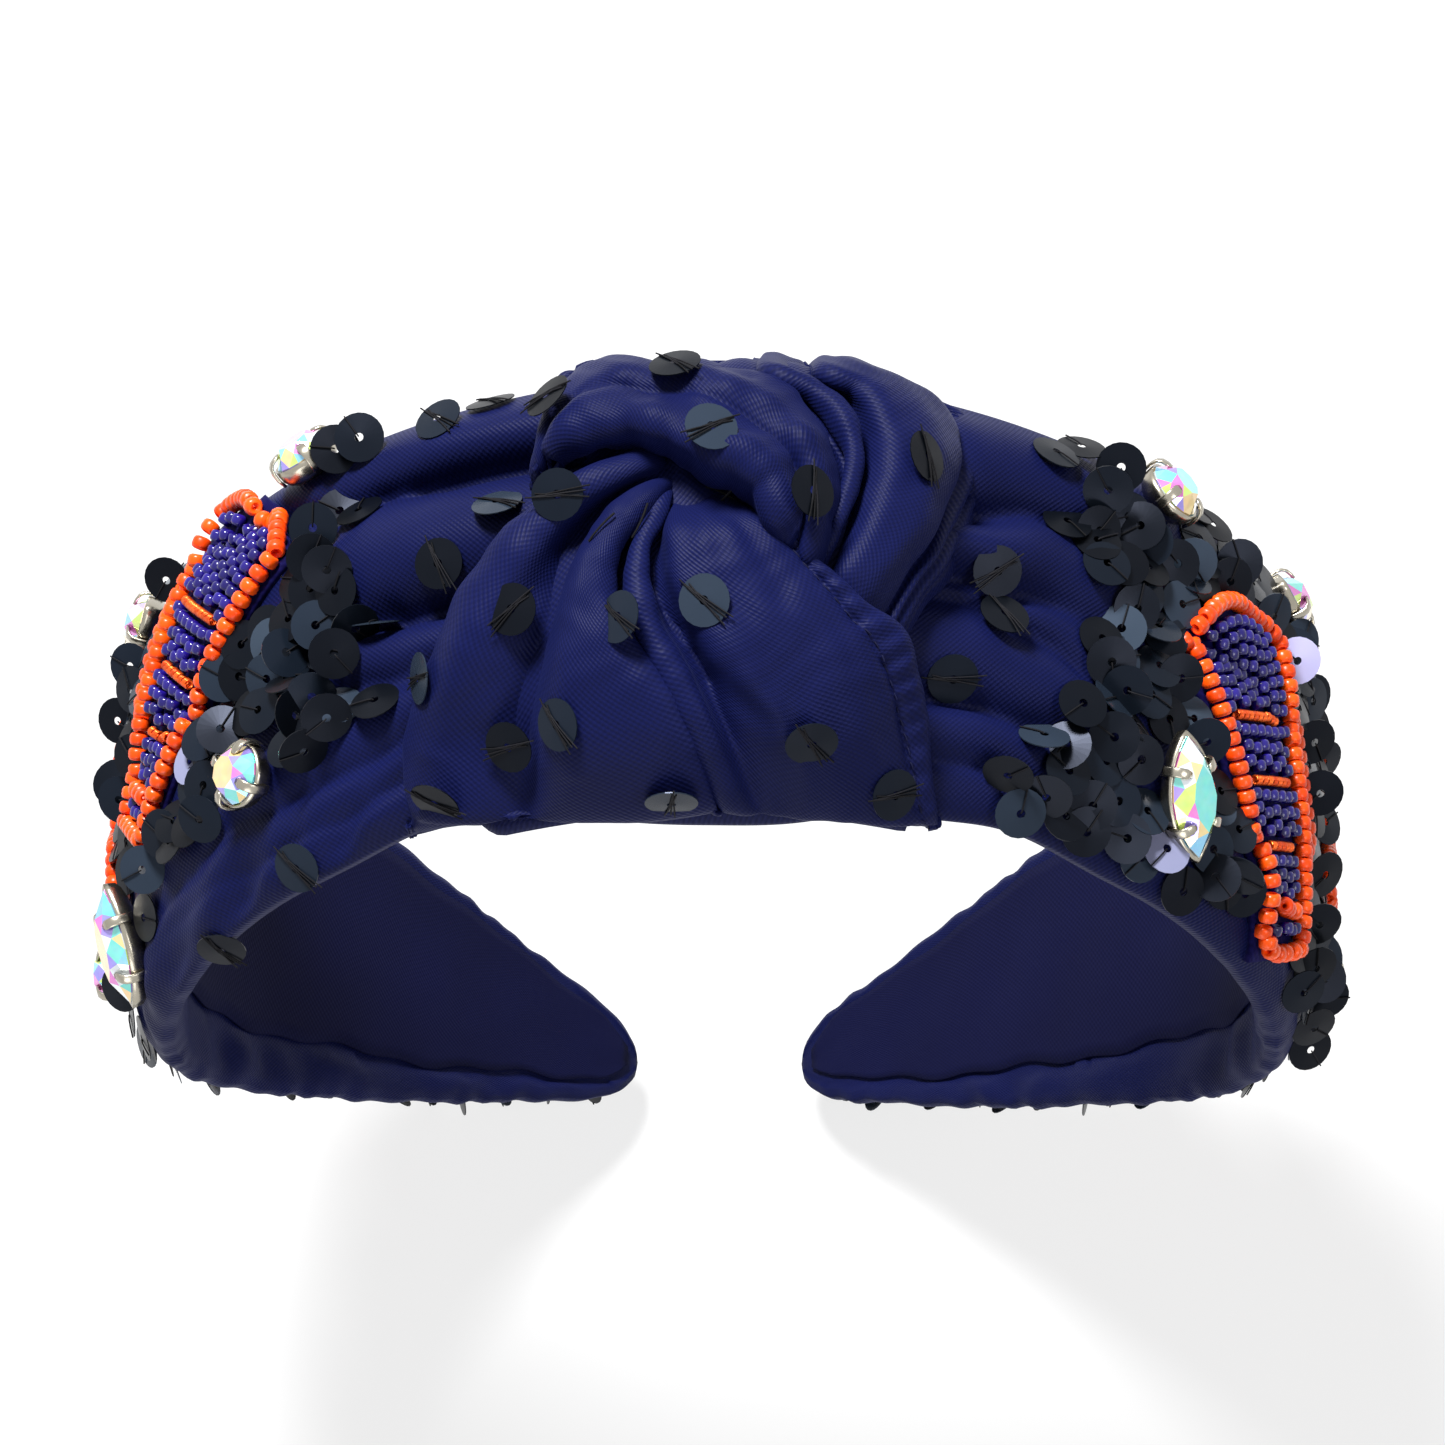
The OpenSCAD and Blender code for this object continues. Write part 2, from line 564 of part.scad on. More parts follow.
module round_stone() {
  translate([0, 0, setting_t + stone_gap])
    cylinder(d1 = stone_d / 3, d2 = stone_d, h = setting_h - setting_t - girdle_h, $fn = 16);
  translate([0, 0, setting_h - girdle_h + stone_gap])
    cylinder(d = stone_d, h = girdle_h, $fn = 16);
  translate([0, 0, setting_h + stone_gap])
    cylinder(d1 = stone_d, d2 = stone_d * 0.55, h = crown_h, $fn = 16);
}
module round_setting() {
  d_in = stone_d + 2 * stone_gap;
  rotate_extrude($fn = 48)
    polygon([[0, 0], [d_in / 3, 0], [d_in / 2 + setting_t, setting_h / 2], [d_in / 2 + setting_t, setting_h],
             [d_in / 2, setting_h], [d_in / 2, setting_h - 1.2], [d_in / 3, setting_t], [0, setting_t]]);
  for (a = [45 : 90 : 315])
    rotate([0, 0, a])
      translate([d_in / 2 + 0.02, -0.5, setting_h - 0.2])
        cube([setting_t, 1, 1.2]);
}
module navette_stone() {
  oval_h = setting_h - girdle_h;
  translate([0, 0, setting_t + stone_gap])
    linear_extrude(oval_h - setting_t + girdle_h)
      oval(navette_l, navette_w, stone_facets);
  translate([0, 0, setting_h + stone_gap])
    linear_extrude(crown_h, scale = [0.62, 0.5])
      oval(navette_l, navette_w, stone_facets);
}
module navette_setting() {
  l_in = navette_l + 2 * stone_gap;
  w_in = navette_w + 2 * stone_gap;
  difference() {
    linear_extrude(setting_h) oval(l_in + 4 * setting_t, w_in + 2 * setting_t);
    translate([0, 0, setting_t]) linear_extrude(setting_h) oval(l_in, w_in);
  }
  for (a = [-1, 1]) for (b = [-1, 1])
    translate([a * navette_l / 4 - 0.5, b * (w_in * 0.41 + setting_t / 2) - setting_t / 2, setting_h - 0.2])
      cube([1, setting_t, 1.2]);
}
module round_stones_left() color(crystal) each_stone(left, rounds_left) round_stone();
module round_stones_right() color(crystal) each_stone(right, rounds_right) round_stone();
module round_settings_left() color(silver) each_stone(left, rounds_left) round_setting();
module round_settings_right() color(silver) each_stone(right, rounds_right) round_setting();
module navette_stones_left() color(crystal) each_stone(left, navettes_left) navette_stone();
module navette_stones_right() color(crystal) each_stone(right, navettes_right) navette_stone();
module navette_settings_left() color(silver) each_stone(left, navettes_left) navette_setting();
module navette_settings_right() color(silver) each_stone(right, navettes_right) navette_setting();

// Sequins: staggered rows over the cover, clear of patches and stones
sequin_pitch = sequin_d + 0.4;
sequin_from = 46;
sequin_margin = sequin_d / 2 + 0.7;
function in_patch(q, at, v, clear) =
  let (p = turned(q - [at[0], at[1]], -at[2])) inside(p, v) || outline_dist(p, v) < clear;
function near_stone(q, spots, clear) = len([for (s = spots) if (norm(q - [s[0], s[1]]) < clear) 1]) > 0;
function free_spot(side, q, rounds, navettes) =
  !in_patch(q, megaphone_at(side), concat(horn, handle), sequin_margin + 1)
  && !in_patch(q, hand_at, hand, sequin_margin + 1)
  && norm(q - [pompom_at[0], pompom_at[1]]) > strand_out + sequin_margin
  && !near_stone(q, rounds, stone_d / 2 + sequin_margin)
  && !near_stone(q, navettes, navette_l / 2 + sequin_margin - 1);
module sequin() {
  rotate_extrude($fn = 32)
    translate([sequin_hole / 2, 0])
      square([(sequin_d - sequin_hole) / 2, sequin_t]);
}
module sequin_rows(side, rounds, navettes) {
  row_step = sequin_pitch * sin(60);
  rows = floor((half_len - sequin_from - sequin_d) / row_step);
  for (i = [0 : rows]) {
    u = sequin_from + row_step * i;
    reach = half_w(u) - sequin_margin;
    n = floor(reach / sequin_pitch);
    for (j = [-n : n]) {
      b = (j + (i % 2) / 2) * sequin_pitch;
      if (abs(b) <= reach && free_spot(side, [u, b], rounds, navettes))
        on_band(side, u, mid_y(u) + b, seat_gap + 0.3, 37 * (i + 3 * j))
          rotate([6, 0, 0])
            sequin();
    }
  }
}
module sequins_left() color(sequin_navy) sequin_rows(left, rounds_left, navettes_left);
module sequins_right() color(sequin_navy) sequin_rows(right, rounds_right, navettes_right);

// Loose sequins sewn on the knot: the layer, the share of the reach and the place across
knot_sequins = [
  [fan, 0.86, 0.2], [fan, 0.55, 0.28], [fan, 0.8, 0.55], [fan, 0.6, 0.72], [flap, 0.75, 0.4], [flap, 0.5, 0.55],
  [side_rolls, 0.7, 0.3], [side_rolls, 0.75, 0.75], [top_loop, 0.6, 0.4], [top_loop, 0.8, 0.8]
];
sew_gap = 0.5;
module sequins_knot() {
  step = 0.02;
  color(sequin_navy)
    for (s = knot_sequins) {
      p = knot_top(s[0], s[1], s[2]);
      n = cross(knot_top(s[0], s[1] + step, s[2]) - p, knot_top(s[0], s[1], s[2] + step) - p);
      m = n / norm(n);
      translate(p + m * sew_gap)
        rotate([0, acos(m[2]), atan2(m[1], m[0])])
          sequin();
    }
}

hoop_core();
lining();
padding_left();
padding_right();
cover_left();
cover_right();
knot_fan();
knot_flap();
knot_side_rolls();
knot_top_loop();
megaphone_felt_left();
megaphone_felt_right();
megaphone_outline_left();
megaphone_outline_right();
megaphone_field_left();
megaphone_field_right();
megaphone_wire_left();
megaphone_wire_right();
hand_felt_left();
hand_felt_right();
hand_outline_left();
hand_outline_right();
hand_field_left();
hand_field_right();
hand_wire_left();
hand_wire_right();
pompom_orange_left();
pompom_orange_right();
pompom_navy_left();
pompom_navy_right();
round_stones_left();
round_stones_right();
round_settings_left();
round_settings_right();
navette_stones_left();
navette_stones_right();
navette_settings_left();
navette_settings_right();
sequins_left();
sequins_right();
sequins_knot();
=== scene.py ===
import math

import bpy
import numpy as np
from mathutils import Matrix, Vector
from mathutils.bvhtree import BVHTree


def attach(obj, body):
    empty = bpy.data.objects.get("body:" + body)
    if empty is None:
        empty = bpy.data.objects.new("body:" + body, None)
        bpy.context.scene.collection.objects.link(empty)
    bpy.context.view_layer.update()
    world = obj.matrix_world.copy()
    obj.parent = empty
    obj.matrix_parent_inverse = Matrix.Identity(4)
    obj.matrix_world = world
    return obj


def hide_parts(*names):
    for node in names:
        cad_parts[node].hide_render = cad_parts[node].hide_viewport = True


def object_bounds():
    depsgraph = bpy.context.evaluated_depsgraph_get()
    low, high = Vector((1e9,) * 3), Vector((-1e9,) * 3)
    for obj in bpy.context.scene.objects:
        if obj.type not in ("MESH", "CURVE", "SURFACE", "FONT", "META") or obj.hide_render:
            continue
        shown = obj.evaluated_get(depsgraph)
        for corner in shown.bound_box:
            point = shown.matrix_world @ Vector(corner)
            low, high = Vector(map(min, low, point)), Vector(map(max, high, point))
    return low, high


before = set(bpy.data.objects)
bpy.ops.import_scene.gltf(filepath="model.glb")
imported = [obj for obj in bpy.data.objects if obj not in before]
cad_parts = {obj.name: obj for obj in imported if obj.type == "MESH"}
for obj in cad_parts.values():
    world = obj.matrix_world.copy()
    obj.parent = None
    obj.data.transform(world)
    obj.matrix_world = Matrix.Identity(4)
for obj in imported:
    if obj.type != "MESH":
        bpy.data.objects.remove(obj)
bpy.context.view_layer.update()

MM = 0.001
SIDES = {"left": -1, "right": 1}
dice = np.random.default_rng(41)

# The hoop's inner line, in millimetres: crown, side bend and long arm
CROWN_R, SIDE_R, ARM_R = 66.0, 50.0, 285.0
CROWN_TURN, SIDE_TURN, ARM_TURN = (math.radians(a) for a in (75, 50, 13.5))
CROWN_LEN, SIDE_LEN, ARM_LEN = CROWN_R * CROWN_TURN, SIDE_R * SIDE_TURN, ARM_R * ARM_TURN
HALF_LEN = CROWN_LEN + SIDE_LEN + ARM_LEN
BEND_TURN = CROWN_TURN + SIDE_TURN
SIDE_C = (CROWN_R - SIDE_R) * np.array([math.sin(CROWN_TURN), math.cos(CROWN_TURN)])
ARM_C = SIDE_C + (SIDE_R - ARM_R) * np.array([math.sin(BEND_TURN), math.cos(BEND_TURN)])
# The band's front and back edges at five even stations from crown to tip
FRONT = -np.array([25.5, 30, 37, 30.5, 20])
BACK = np.array([25, 21.5, 15.5, 7.5, -9.5])
# Height of the cover's edge over the inner line and of the padding over that, the tip's rounding and what it adds
EDGE_H, PAD_H = 1.8, 5.2
TIP_ROUND, TIP_PAST = 6.0, 1.6


def hoop(u):
    """Centre, radius and heading of the inner line at distances from the crown."""
    u = np.asarray(u, float)
    crown, side = u < CROWN_LEN, u < CROWN_LEN + SIDE_LEN
    turn = np.where(
        crown,
        u / CROWN_R,
        np.where(side, CROWN_TURN + (u - CROWN_LEN) / SIDE_R, BEND_TURN + (u - CROWN_LEN - SIDE_LEN) / ARM_R),
    )
    radius = np.where(crown, CROWN_R, np.where(side, SIDE_R, ARM_R))
    cx = np.where(crown, 0, np.where(side, SIDE_C[0], ARM_C[0]))
    cz = np.where(crown, 0, np.where(side, SIDE_C[1], ARM_C[1]))
    return cx, cz, radius, turn


def band_point(side, u, y, h):
    """Points at distances from the crown on one side, at places across and heights over the inner line."""
    cx, cz, radius, turn = hoop(u)
    return np.stack(
        np.broadcast_arrays(side * (cx + (radius + h) * np.sin(turn)), y, cz + (radius + h) * np.cos(turn)), -1
    )


def spline(p, i, t):
    """Smooth curve through points, at shares t of the way from point i + 1 to the next."""
    a, b, c, d = p[i], p[i + 1], p[i + 2], p[i + 3]
    return ((-a + 3 * b - 3 * c + d) * t**3 + (2 * a - 5 * b + 4 * c - d) * t**2 + (c - a) * t + 2 * b) / 2


def station(v, u):
    """Smooth curve through five even stations from crown to tip, level at the crown."""
    f = np.clip(np.asarray(u, float) / HALF_LEN, 0, 0.9999) * 4
    i = np.floor(f).astype(int)
    t = f - i
    return spline(np.concatenate([[v[1]], v, [2 * v[-1] - v[-2]]]), i, t)


def mid_y(u):
    return (station(FRONT, u) + station(BACK, u)) / 2


def half_w(u):
    return (station(BACK, u) - station(FRONT, u)) / 2


# Where the knot ends along each arm
KNOT_SIDE = {-1: 31.0, 1: 26.0}
# Creases that run from the knot along each arm, as place across and drift for each mm, and the puffs between them,
# as height and length of fade
CREASES = {
    -1: [(-1, 0), (-0.84, 0), (-0.62, -0.002), (-0.3, -0.003), (-0.1, 0.001), (0.62, 0.004), (1.02, 0)],
    1: [(-1, 0), (-0.8, 0), (-0.5, -0.008), (-0.06, -0.014), (0.06, 0.002), (0.44, 0.003), (1.02, 0)],
}
PUFFS = {
    -1: [(1.4, 40), (3.0, 34), (4.8, 28), (4.2, 20), (9.4, 24), (7.6, 22)],
    1: [(0.8, 40), (3.6, 34), (7.2, 30), (3.0, 20), (8.0, 22), (8.0, 20)],
}


def gathers(side, u, s):
    """Height of the cloth drawn in beside the knot: puffs between sharp creases, which fade along the arm."""
    past = np.maximum(np.asarray(u, float) - KNOT_SIDE[side], 0)
    s = np.asarray(s, float)
    rise = 0.0
    calm = 1 - s * s
    for i, ((a, da), (b, db), (high, fade)) in enumerate(zip(CREASES[side], CREASES[side][1:], PUFFS[side])):
        sway = [
            0.05 * np.sin(0.17 * past + 2.1 * k + side) * calm + 0.025 * np.sin(0.45 * past + k) * calm
            for k in (i, i + 1)
        ]
        low, top = a + da * past + sway[0], b + db * past + sway[1]
        high = high * (1 + 0.22 * np.sin(0.23 * past + 1.9 * i))
        t = np.clip((2 * s - low - top) / np.maximum(top - low, 0.02), -1, 1)
        puff = high * np.exp(-past / fade) * ((1 - t * t) ** 0.55 - 0.62)
        rise = rise + np.where((s >= low) & (s < top), puff, 0)
    return (1 - s**8) * rise


def cloth_h(side, u, s):
    """Height of the arm's padded outer face over the inner line."""
    s = np.clip(s, -1, 1)
    lump = 0.12 * np.sin(0.31 * u + 5 * s) * np.sin(0.17 * u - 7 * s + side)
    return EDGE_H + PAD_H * np.sqrt(1 - np.abs(s) ** 2.5) + gathers(side, u, s) + lump * (1 - s * s)


def on_cloth(side, u, b):
    """Point, outward normal and the two directions along and across the arm, at b from the middle."""

    def at(u, b):
        return band_point(side, u, mid_y(u) + b, cloth_h(side, u, b / half_w(u)))

    step = 1.2
    p = at(u, b)
    along = at(u + step, b) - at(u - step, b)
    across = at(u, b + step) - at(u, b - step)
    along /= np.linalg.norm(along)
    normal = side * np.cross(along, across)
    normal /= np.linalg.norm(normal)
    return p, normal, along, np.cross(normal, along) * side


def turn_to(normal, heading):
    """Matrix with Z on the normal and X as near the heading as it can be."""
    z = Vector(normal).normalized()
    x = Vector(heading)
    x = (x - z * x.dot(z)).normalized()
    return Matrix((x, z.cross(x), z)).transposed()


# Finishes
def linear(hex_text):
    """sRGB hex to the linear values that shaders take."""
    c = [int(hex_text[i : i + 2], 16) / 255 for i in (1, 3, 5)]
    return tuple(x / 12.92 if x <= 0.04045 else ((x + 0.055) / 1.055) ** 2.4 for x in c) + (1.0,)


def add(tree, kind, inputs=None, **settings):
    """A node with its settings, and each input given a value or linked to a socket."""
    node = tree.nodes.new(kind)
    for key, value in settings.items():
        setattr(node, key, value)
    for key, value in (inputs or {}).items():
        if isinstance(value, bpy.types.NodeSocket):
            tree.links.new(value, node.inputs[key])
        else:
            node.inputs[key].default_value = value
    return node


def new_finish(name):
    finish = bpy.data.materials.new(name)
    finish.use_nodes = True
    finish.node_tree.nodes.clear()
    return finish, finish.node_tree


def close(tree, shader):
    add(tree, "ShaderNodeOutputMaterial", {"Surface": shader.outputs[0]})


# One turn of a wave texture is 2 pi / 20 of its scaled coordinate
WAVE_TURN = 2 * math.pi / 20
# UV maps hold millimetres times this
UV_MM = 0.01
# Angle and relative fineness of the two sets of threads
TWILL = ((math.radians(38), 1.0), (math.radians(-52), 0.8))
SHADE_MM, HAZE_MM, PAPER_MM = 14, 1.2, 4


def woven_cloth(name, deep, lit, thread_mm, rough, sheen, weave_bump):
    """Woven cloth with a twill: fine diagonal threads, soft bloom at the edges and slight shade changes."""
    finish, tree = new_finish(name)
    place = add(tree, "ShaderNodeTexCoord")
    scale = WAVE_TURN / (thread_mm * UV_MM)
    threads = []
    for angle, share in TWILL:
        turned = add(tree, "ShaderNodeMapping", {"Vector": place.outputs["UV"], "Rotation": (0, 0, angle)})
        ends = {"Vector": turned.outputs[0], "Scale": scale * share, "Distortion": 0.25, "Detail": 1.0}
        threads.append(add(tree, "ShaderNodeTexWave", ends, wave_type="BANDS", bands_direction="X").outputs["Fac"])
    ends = {0: 0.35, 2: threads[0], 3: threads[1]}
    weave = add(tree, "ShaderNodeMix", ends, data_type="FLOAT").outputs[0]
    ends = {"Vector": place.outputs["Object"], "Scale": 1 / (SHADE_MM * MM), "Detail": 3.0}
    shade = add(tree, "ShaderNodeTexNoise", ends)
    ends = {0: shade.outputs["Fac"], 6: linear(deep), 7: linear(lit)}
    tint = add(tree, "ShaderNodeMix", ends, data_type="RGBA")
    ends = {0: 0.42, 6: tint.outputs[2], 7: weave}
    dyed = add(tree, "ShaderNodeMix", ends, data_type="RGBA", blend_type="MULTIPLY")
    gloss = add(tree, "ShaderNodeMapRange", {"Value": weave, "To Min": rough + 0.07, "To Max": rough - 0.06})
    bump = add(tree, "ShaderNodeBump", {"Strength": weave_bump, "Distance": 0.06 * MM, "Height": weave})
    cloth = {
        "Base Color": dyed.outputs[2],
        "Roughness": gloss.outputs[0],
        "Specular IOR Level": 0.06,
        "Sheen Weight": sheen,
        "Sheen Roughness": 0.4,
        "Sheen Tint": linear("#6d7ad8"),
        "Normal": bump.outputs[0],
    }
    close(tree, add(tree, "ShaderNodeBsdfPrincipled", cloth))
    return finish


def toned(name, stops, rough, settings, grain_mm, grain_bump):
    """Small pieces, each with its own tone and polish, and a faint uneven surface; on the sequins the colour ramp by
    tone also holds painted reflection and painted glints.
    """
    finish, tree = new_finish(name)
    tone = add(tree, "ShaderNodeAttribute", attribute_name="tone").outputs["Fac"]
    tint = add(tree, "ShaderNodeValToRGB", {0: tone})
    ramp = tint.color_ramp
    while len(ramp.elements) < len(stops):
        ramp.elements.new(0.5)
    for element, (at, colour) in zip(ramp.elements, stops):
        element.position = at
        element.color = linear(colour)
    polish = add(tree, "ShaderNodeMapRange", {"Value": tone, "To Min": rough[0], "To Max": rough[1]})
    place = add(tree, "ShaderNodeTexCoord")
    grain = add(tree, "ShaderNodeTexNoise", {"Vector": place.outputs["Object"], "Scale": 1 / (grain_mm * MM)})
    ends = {"Strength": grain_bump, "Distance": 0.05 * MM, "Height": grain.outputs["Fac"]}
    bump = add(tree, "ShaderNodeBump", ends)
    ends = {"Base Color": tint.outputs[0], "Roughness": polish.outputs[0], "Normal": bump.outputs[0]}
    close(tree, add(tree, "ShaderNodeBsdfPrincipled", ends | settings))
    return finish


def cut_crystal(name):
    """Foil-backed lead crystal with an iridescent coating: each facet shows its own pale colour, sharp and bright."""
    finish, tree = new_finish(name)
    facet = add(tree, "ShaderNodeAttribute", attribute_name="facet")
    place = add(tree, "ShaderNodeTexCoord")
    ends = {"Vector": place.outputs["Object"], "Scale": 1 / (HAZE_MM * MM), "Detail": 1.0}
    haze = add(tree, "ShaderNodeTexNoise", ends)
    ends = {0: 0.5, 6: facet.outputs["Color"], 7: haze.outputs["Color"]}
    tint = add(tree, "ShaderNodeMix", ends, data_type="RGBA", blend_type="SOFT_LIGHT")
    glass = {
        "Base Color": tint.outputs[2],
        "Metallic": 0.55,
        "Roughness": 0.06,
        "IOR": 1.6,
        "Coat Weight": 1.0,
        "Coat Roughness": 0.02,
        "Coat IOR": 1.6,
    }
    close(tree, add(tree, "ShaderNodeBsdfPrincipled", glass))
    return finish


# In all three cloths the threads or fibres are drawn at least twice as coarse as real ones, so that they show.
# Satin twill: deep navy, with fine diagonal threads and dull, soft lights on the folds
satin = woven_cloth("navy satin twill", "#0c113a", "#131949", 0.44, 0.5, 0.03, 0.8)
# Lining taffeta: darker and flatter than the satin, with no bloom
lining_cloth = woven_cloth("dark lining taffeta", "#0a0c2b", "#0e1137", 0.5, 0.7, 0.0, 0.4)
# Pressed felt: matt, with a short nap that lightens its edges
felt_cloth = woven_cloth("navy pressed felt", "#0d0a3c", "#130f4a", 0.7, 0.8, 0.1, 0.4)
# Coated film: near black, each disc with its own tone from near black to slate and its own gloss, and a few pale
# lavender ones; the slate is partly the film's tone and partly painted reflection, and the pale lavender is a painted
# glint
sequin_film = toned(
    "black navy sequin film",
    # Colour stops by tone: the slate stops are partly painted reflection, the pale lavender top stop is a painted
    # glint
    [(0, "#020305"), (0.45, "#070a0f"), (0.75, "#141b25"), (0.93, "#2c3643"), (0.965, "#434f5d"), (0.985, "#b9b8e3")],
    (0.4, 0.18),
    {"Specular IOR Level": 0.16, "Specular Tint": linear("#c3cdec")},
    1.6,
    0.12,
)
# Opaque bead glass: a strong, even colour and one small light on each bead, softer on the orange ones
orange_glass = toned(
    "orange opaque seed bead glass",
    [(0, "#e63d04"), (1, "#fb560c")],
    (0.35, 0.25),
    {"Specular IOR Level": 0.32},
    0.6,
    0.1,
)
navy_glass = toned(
    "navy opaque seed bead glass", [(0, "#120a54"), (1, "#1f1378")], (0.2, 0.1), {"Specular IOR Level": 0.4}, 0.6, 0.1
)
# Purl, a fine metal wire wound close: bright ribs with dark gaps
copper_purl = toned(
    "orange metallic purl wire", [(0, "#c83e08"), (1, "#f26a1e")], (0.36, 0.26), {"Metallic": 0.7}, 0.3, 0.1
)
silver_purl = toned("silver purl wire", [(0, "#9b9da3"), (1, "#cfd0d6")], (0.34, 0.24), {"Metallic": 1.0}, 0.3, 0.1)
# Spun thread: dull and slightly rough, with hardly any light on it
navy_thread = toned(
    "navy sewing thread", [(0, "#070a26"), (1, "#0c1033")], (0.8, 0.65), {"Specular IOR Level": 0.15}, 0.15, 0.5
)
black_thread = toned(
    "black sewing thread", [(0, "#050508"), (1, "#0e0e14")], (0.8, 0.65), {"Specular IOR Level": 0.15}, 0.15, 0.5
)
# Plated sheet metal: warm grey, with slightly blurred reflections
plate_metal = toned(
    "nickel plated setting", [(0, "#a8a294"), (1, "#cbc6b8")], (0.26, 0.2), {"Metallic": 1.0}, 0.5, 0.2
)
# Moulded plastic: plain ivory, half dull
hoop_plastic = toned("ivory hoop plastic", [(0, "#d9d5c8"), (1, "#e6e2d6")], (0.5, 0.45), {}, 2.0, 0.1)
# Coated crystal: sharp, bright facets, each in its own pale colour
crystal = cut_crystal("iridescent lead crystal")


# Meshes
def make_piece(name, points, faces, finish, uv=None, smooth=True):
    """A mesh object from points in millimetres, with its place in its mesh."""
    mesh = bpy.data.meshes.new(name)
    mesh.from_pydata((np.asarray(points) * MM).tolist(), [], [list(map(int, f)) for f in faces])
    if uv is not None:
        layer = mesh.uv_layers.new(name="UVMap")
        corner = np.empty(len(mesh.loops), dtype=np.int32)
        mesh.loops.foreach_get("vertex_index", corner)
        layer.data.foreach_set("uv", (np.asarray(uv)[corner] * UV_MM).ravel())
    mesh.validate()
    mesh.polygons.foreach_set("use_smooth", [smooth] * len(mesh.polygons))
    piece = bpy.data.objects.new(name, mesh)
    piece.data.materials.append(finish)
    bpy.context.scene.collection.objects.link(piece)
    return piece


def grid_faces(rows, cols, ring=False):
    n = cols if ring else cols - 1
    i, j = np.meshgrid(np.arange(rows - 1), np.arange(n), indexing="ij")
    a = i * cols + j
    b = i * cols + (j + 1) % cols
    return np.stack([a, b, b + cols, a + cols], -1).reshape(-1, 4)


def grid_uv(grid):
    """Flat place of each point of a grid of points, from the mean lengths of its rows and columns."""
    rows = np.linalg.norm(np.diff(grid, axis=0), axis=2).mean(1)
    cols = np.linalg.norm(np.diff(grid, axis=1), axis=2).mean(0)
    u = np.concatenate([[0], np.cumsum(rows)])
    v = np.concatenate([[0], np.cumsum(cols)])
    return np.stack(np.meshgrid(u, v, indexing="ij"), -1).reshape(-1, 2)


def cloth_sheet(name, grid, finish, thick_mm, outward):
    """A sheet through a grid of points, its face towards outward, with the cloth's thickness behind it."""
    rows, cols = grid.shape[:2]
    faces = grid_faces(rows, cols)
    normal = np.cross(grid[1:, :-1] - grid[:-1, :-1], grid[:-1, 1:] - grid[:-1, :-1])
    if np.sum(normal * outward(grid[:-1, :-1])) > 0:
        faces = faces[:, ::-1]
    piece = make_piece(name, grid.reshape(-1, 3), faces, finish, grid_uv(grid))
    back = piece.modifiers.new("cloth thickness", "SOLIDIFY")
    back.thickness = thick_mm * MM
    back.offset = -1
    back.use_even_offset = False
    return piece


def lengths(points):
    """Distance of each point of a line from its first one."""
    return np.concatenate([[0], np.cumsum(np.linalg.norm(np.diff(points, axis=0), axis=1))])


def curve_through(points, count):
    """Even steps of a smooth curve through points, in any number of dimensions."""
    p = np.asarray(points, float)
    p = np.concatenate([[2 * p[0] - p[1]], p, [2 * p[-1] - p[-2]]])
    f = np.linspace(0, len(p) - 3, count)
    i = np.minimum(np.floor(f).astype(int), len(p) - 4)
    t = (f - i).reshape((-1,) + (1,) * (p.ndim - 1))
    return spline(p, i, t)


def loft(lines, along, across):
    """Grid of points on a smooth surface through fold lines, each with the same number of points."""
    lines = np.asarray(lines, float)
    run = np.stack([curve_through(line, along) for line in lines])
    return curve_through(run, (len(lines) - 1) * across + 1)


def trim(piece, slot_name, *nodes):
    """A piece that rides on the one body and hides the nodes that it replaces; its slot name is not used."""
    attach(piece, "root")
    if nodes:
        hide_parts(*nodes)


# Cloth left bare between the lining and the band's front and back edges, by distance from the crown
LINING_FRONT = ((0, 60, 100, 130, 165, 200), (7, 8, 9.5, 7.5, 4.5, 2.0))
LINING_BACK = ((0, 60, 100, 200), (6.5, 5.0, 3.6, 1.8))
SATIN_T, LINING_T = 0.45, 0.35
ARM_ROWS, TIP_ROWS, OUTER_COLS, INNER_COLS = 240, 14, 111, 31
LINING_ROWS, LINING_COLS = 301, 17
# Half the width that the weave of an arm is laid out on, and the distance at which the tip starts
WEAVE_HALF = 30
TIP_START = HALF_LEN - TIP_ROUND


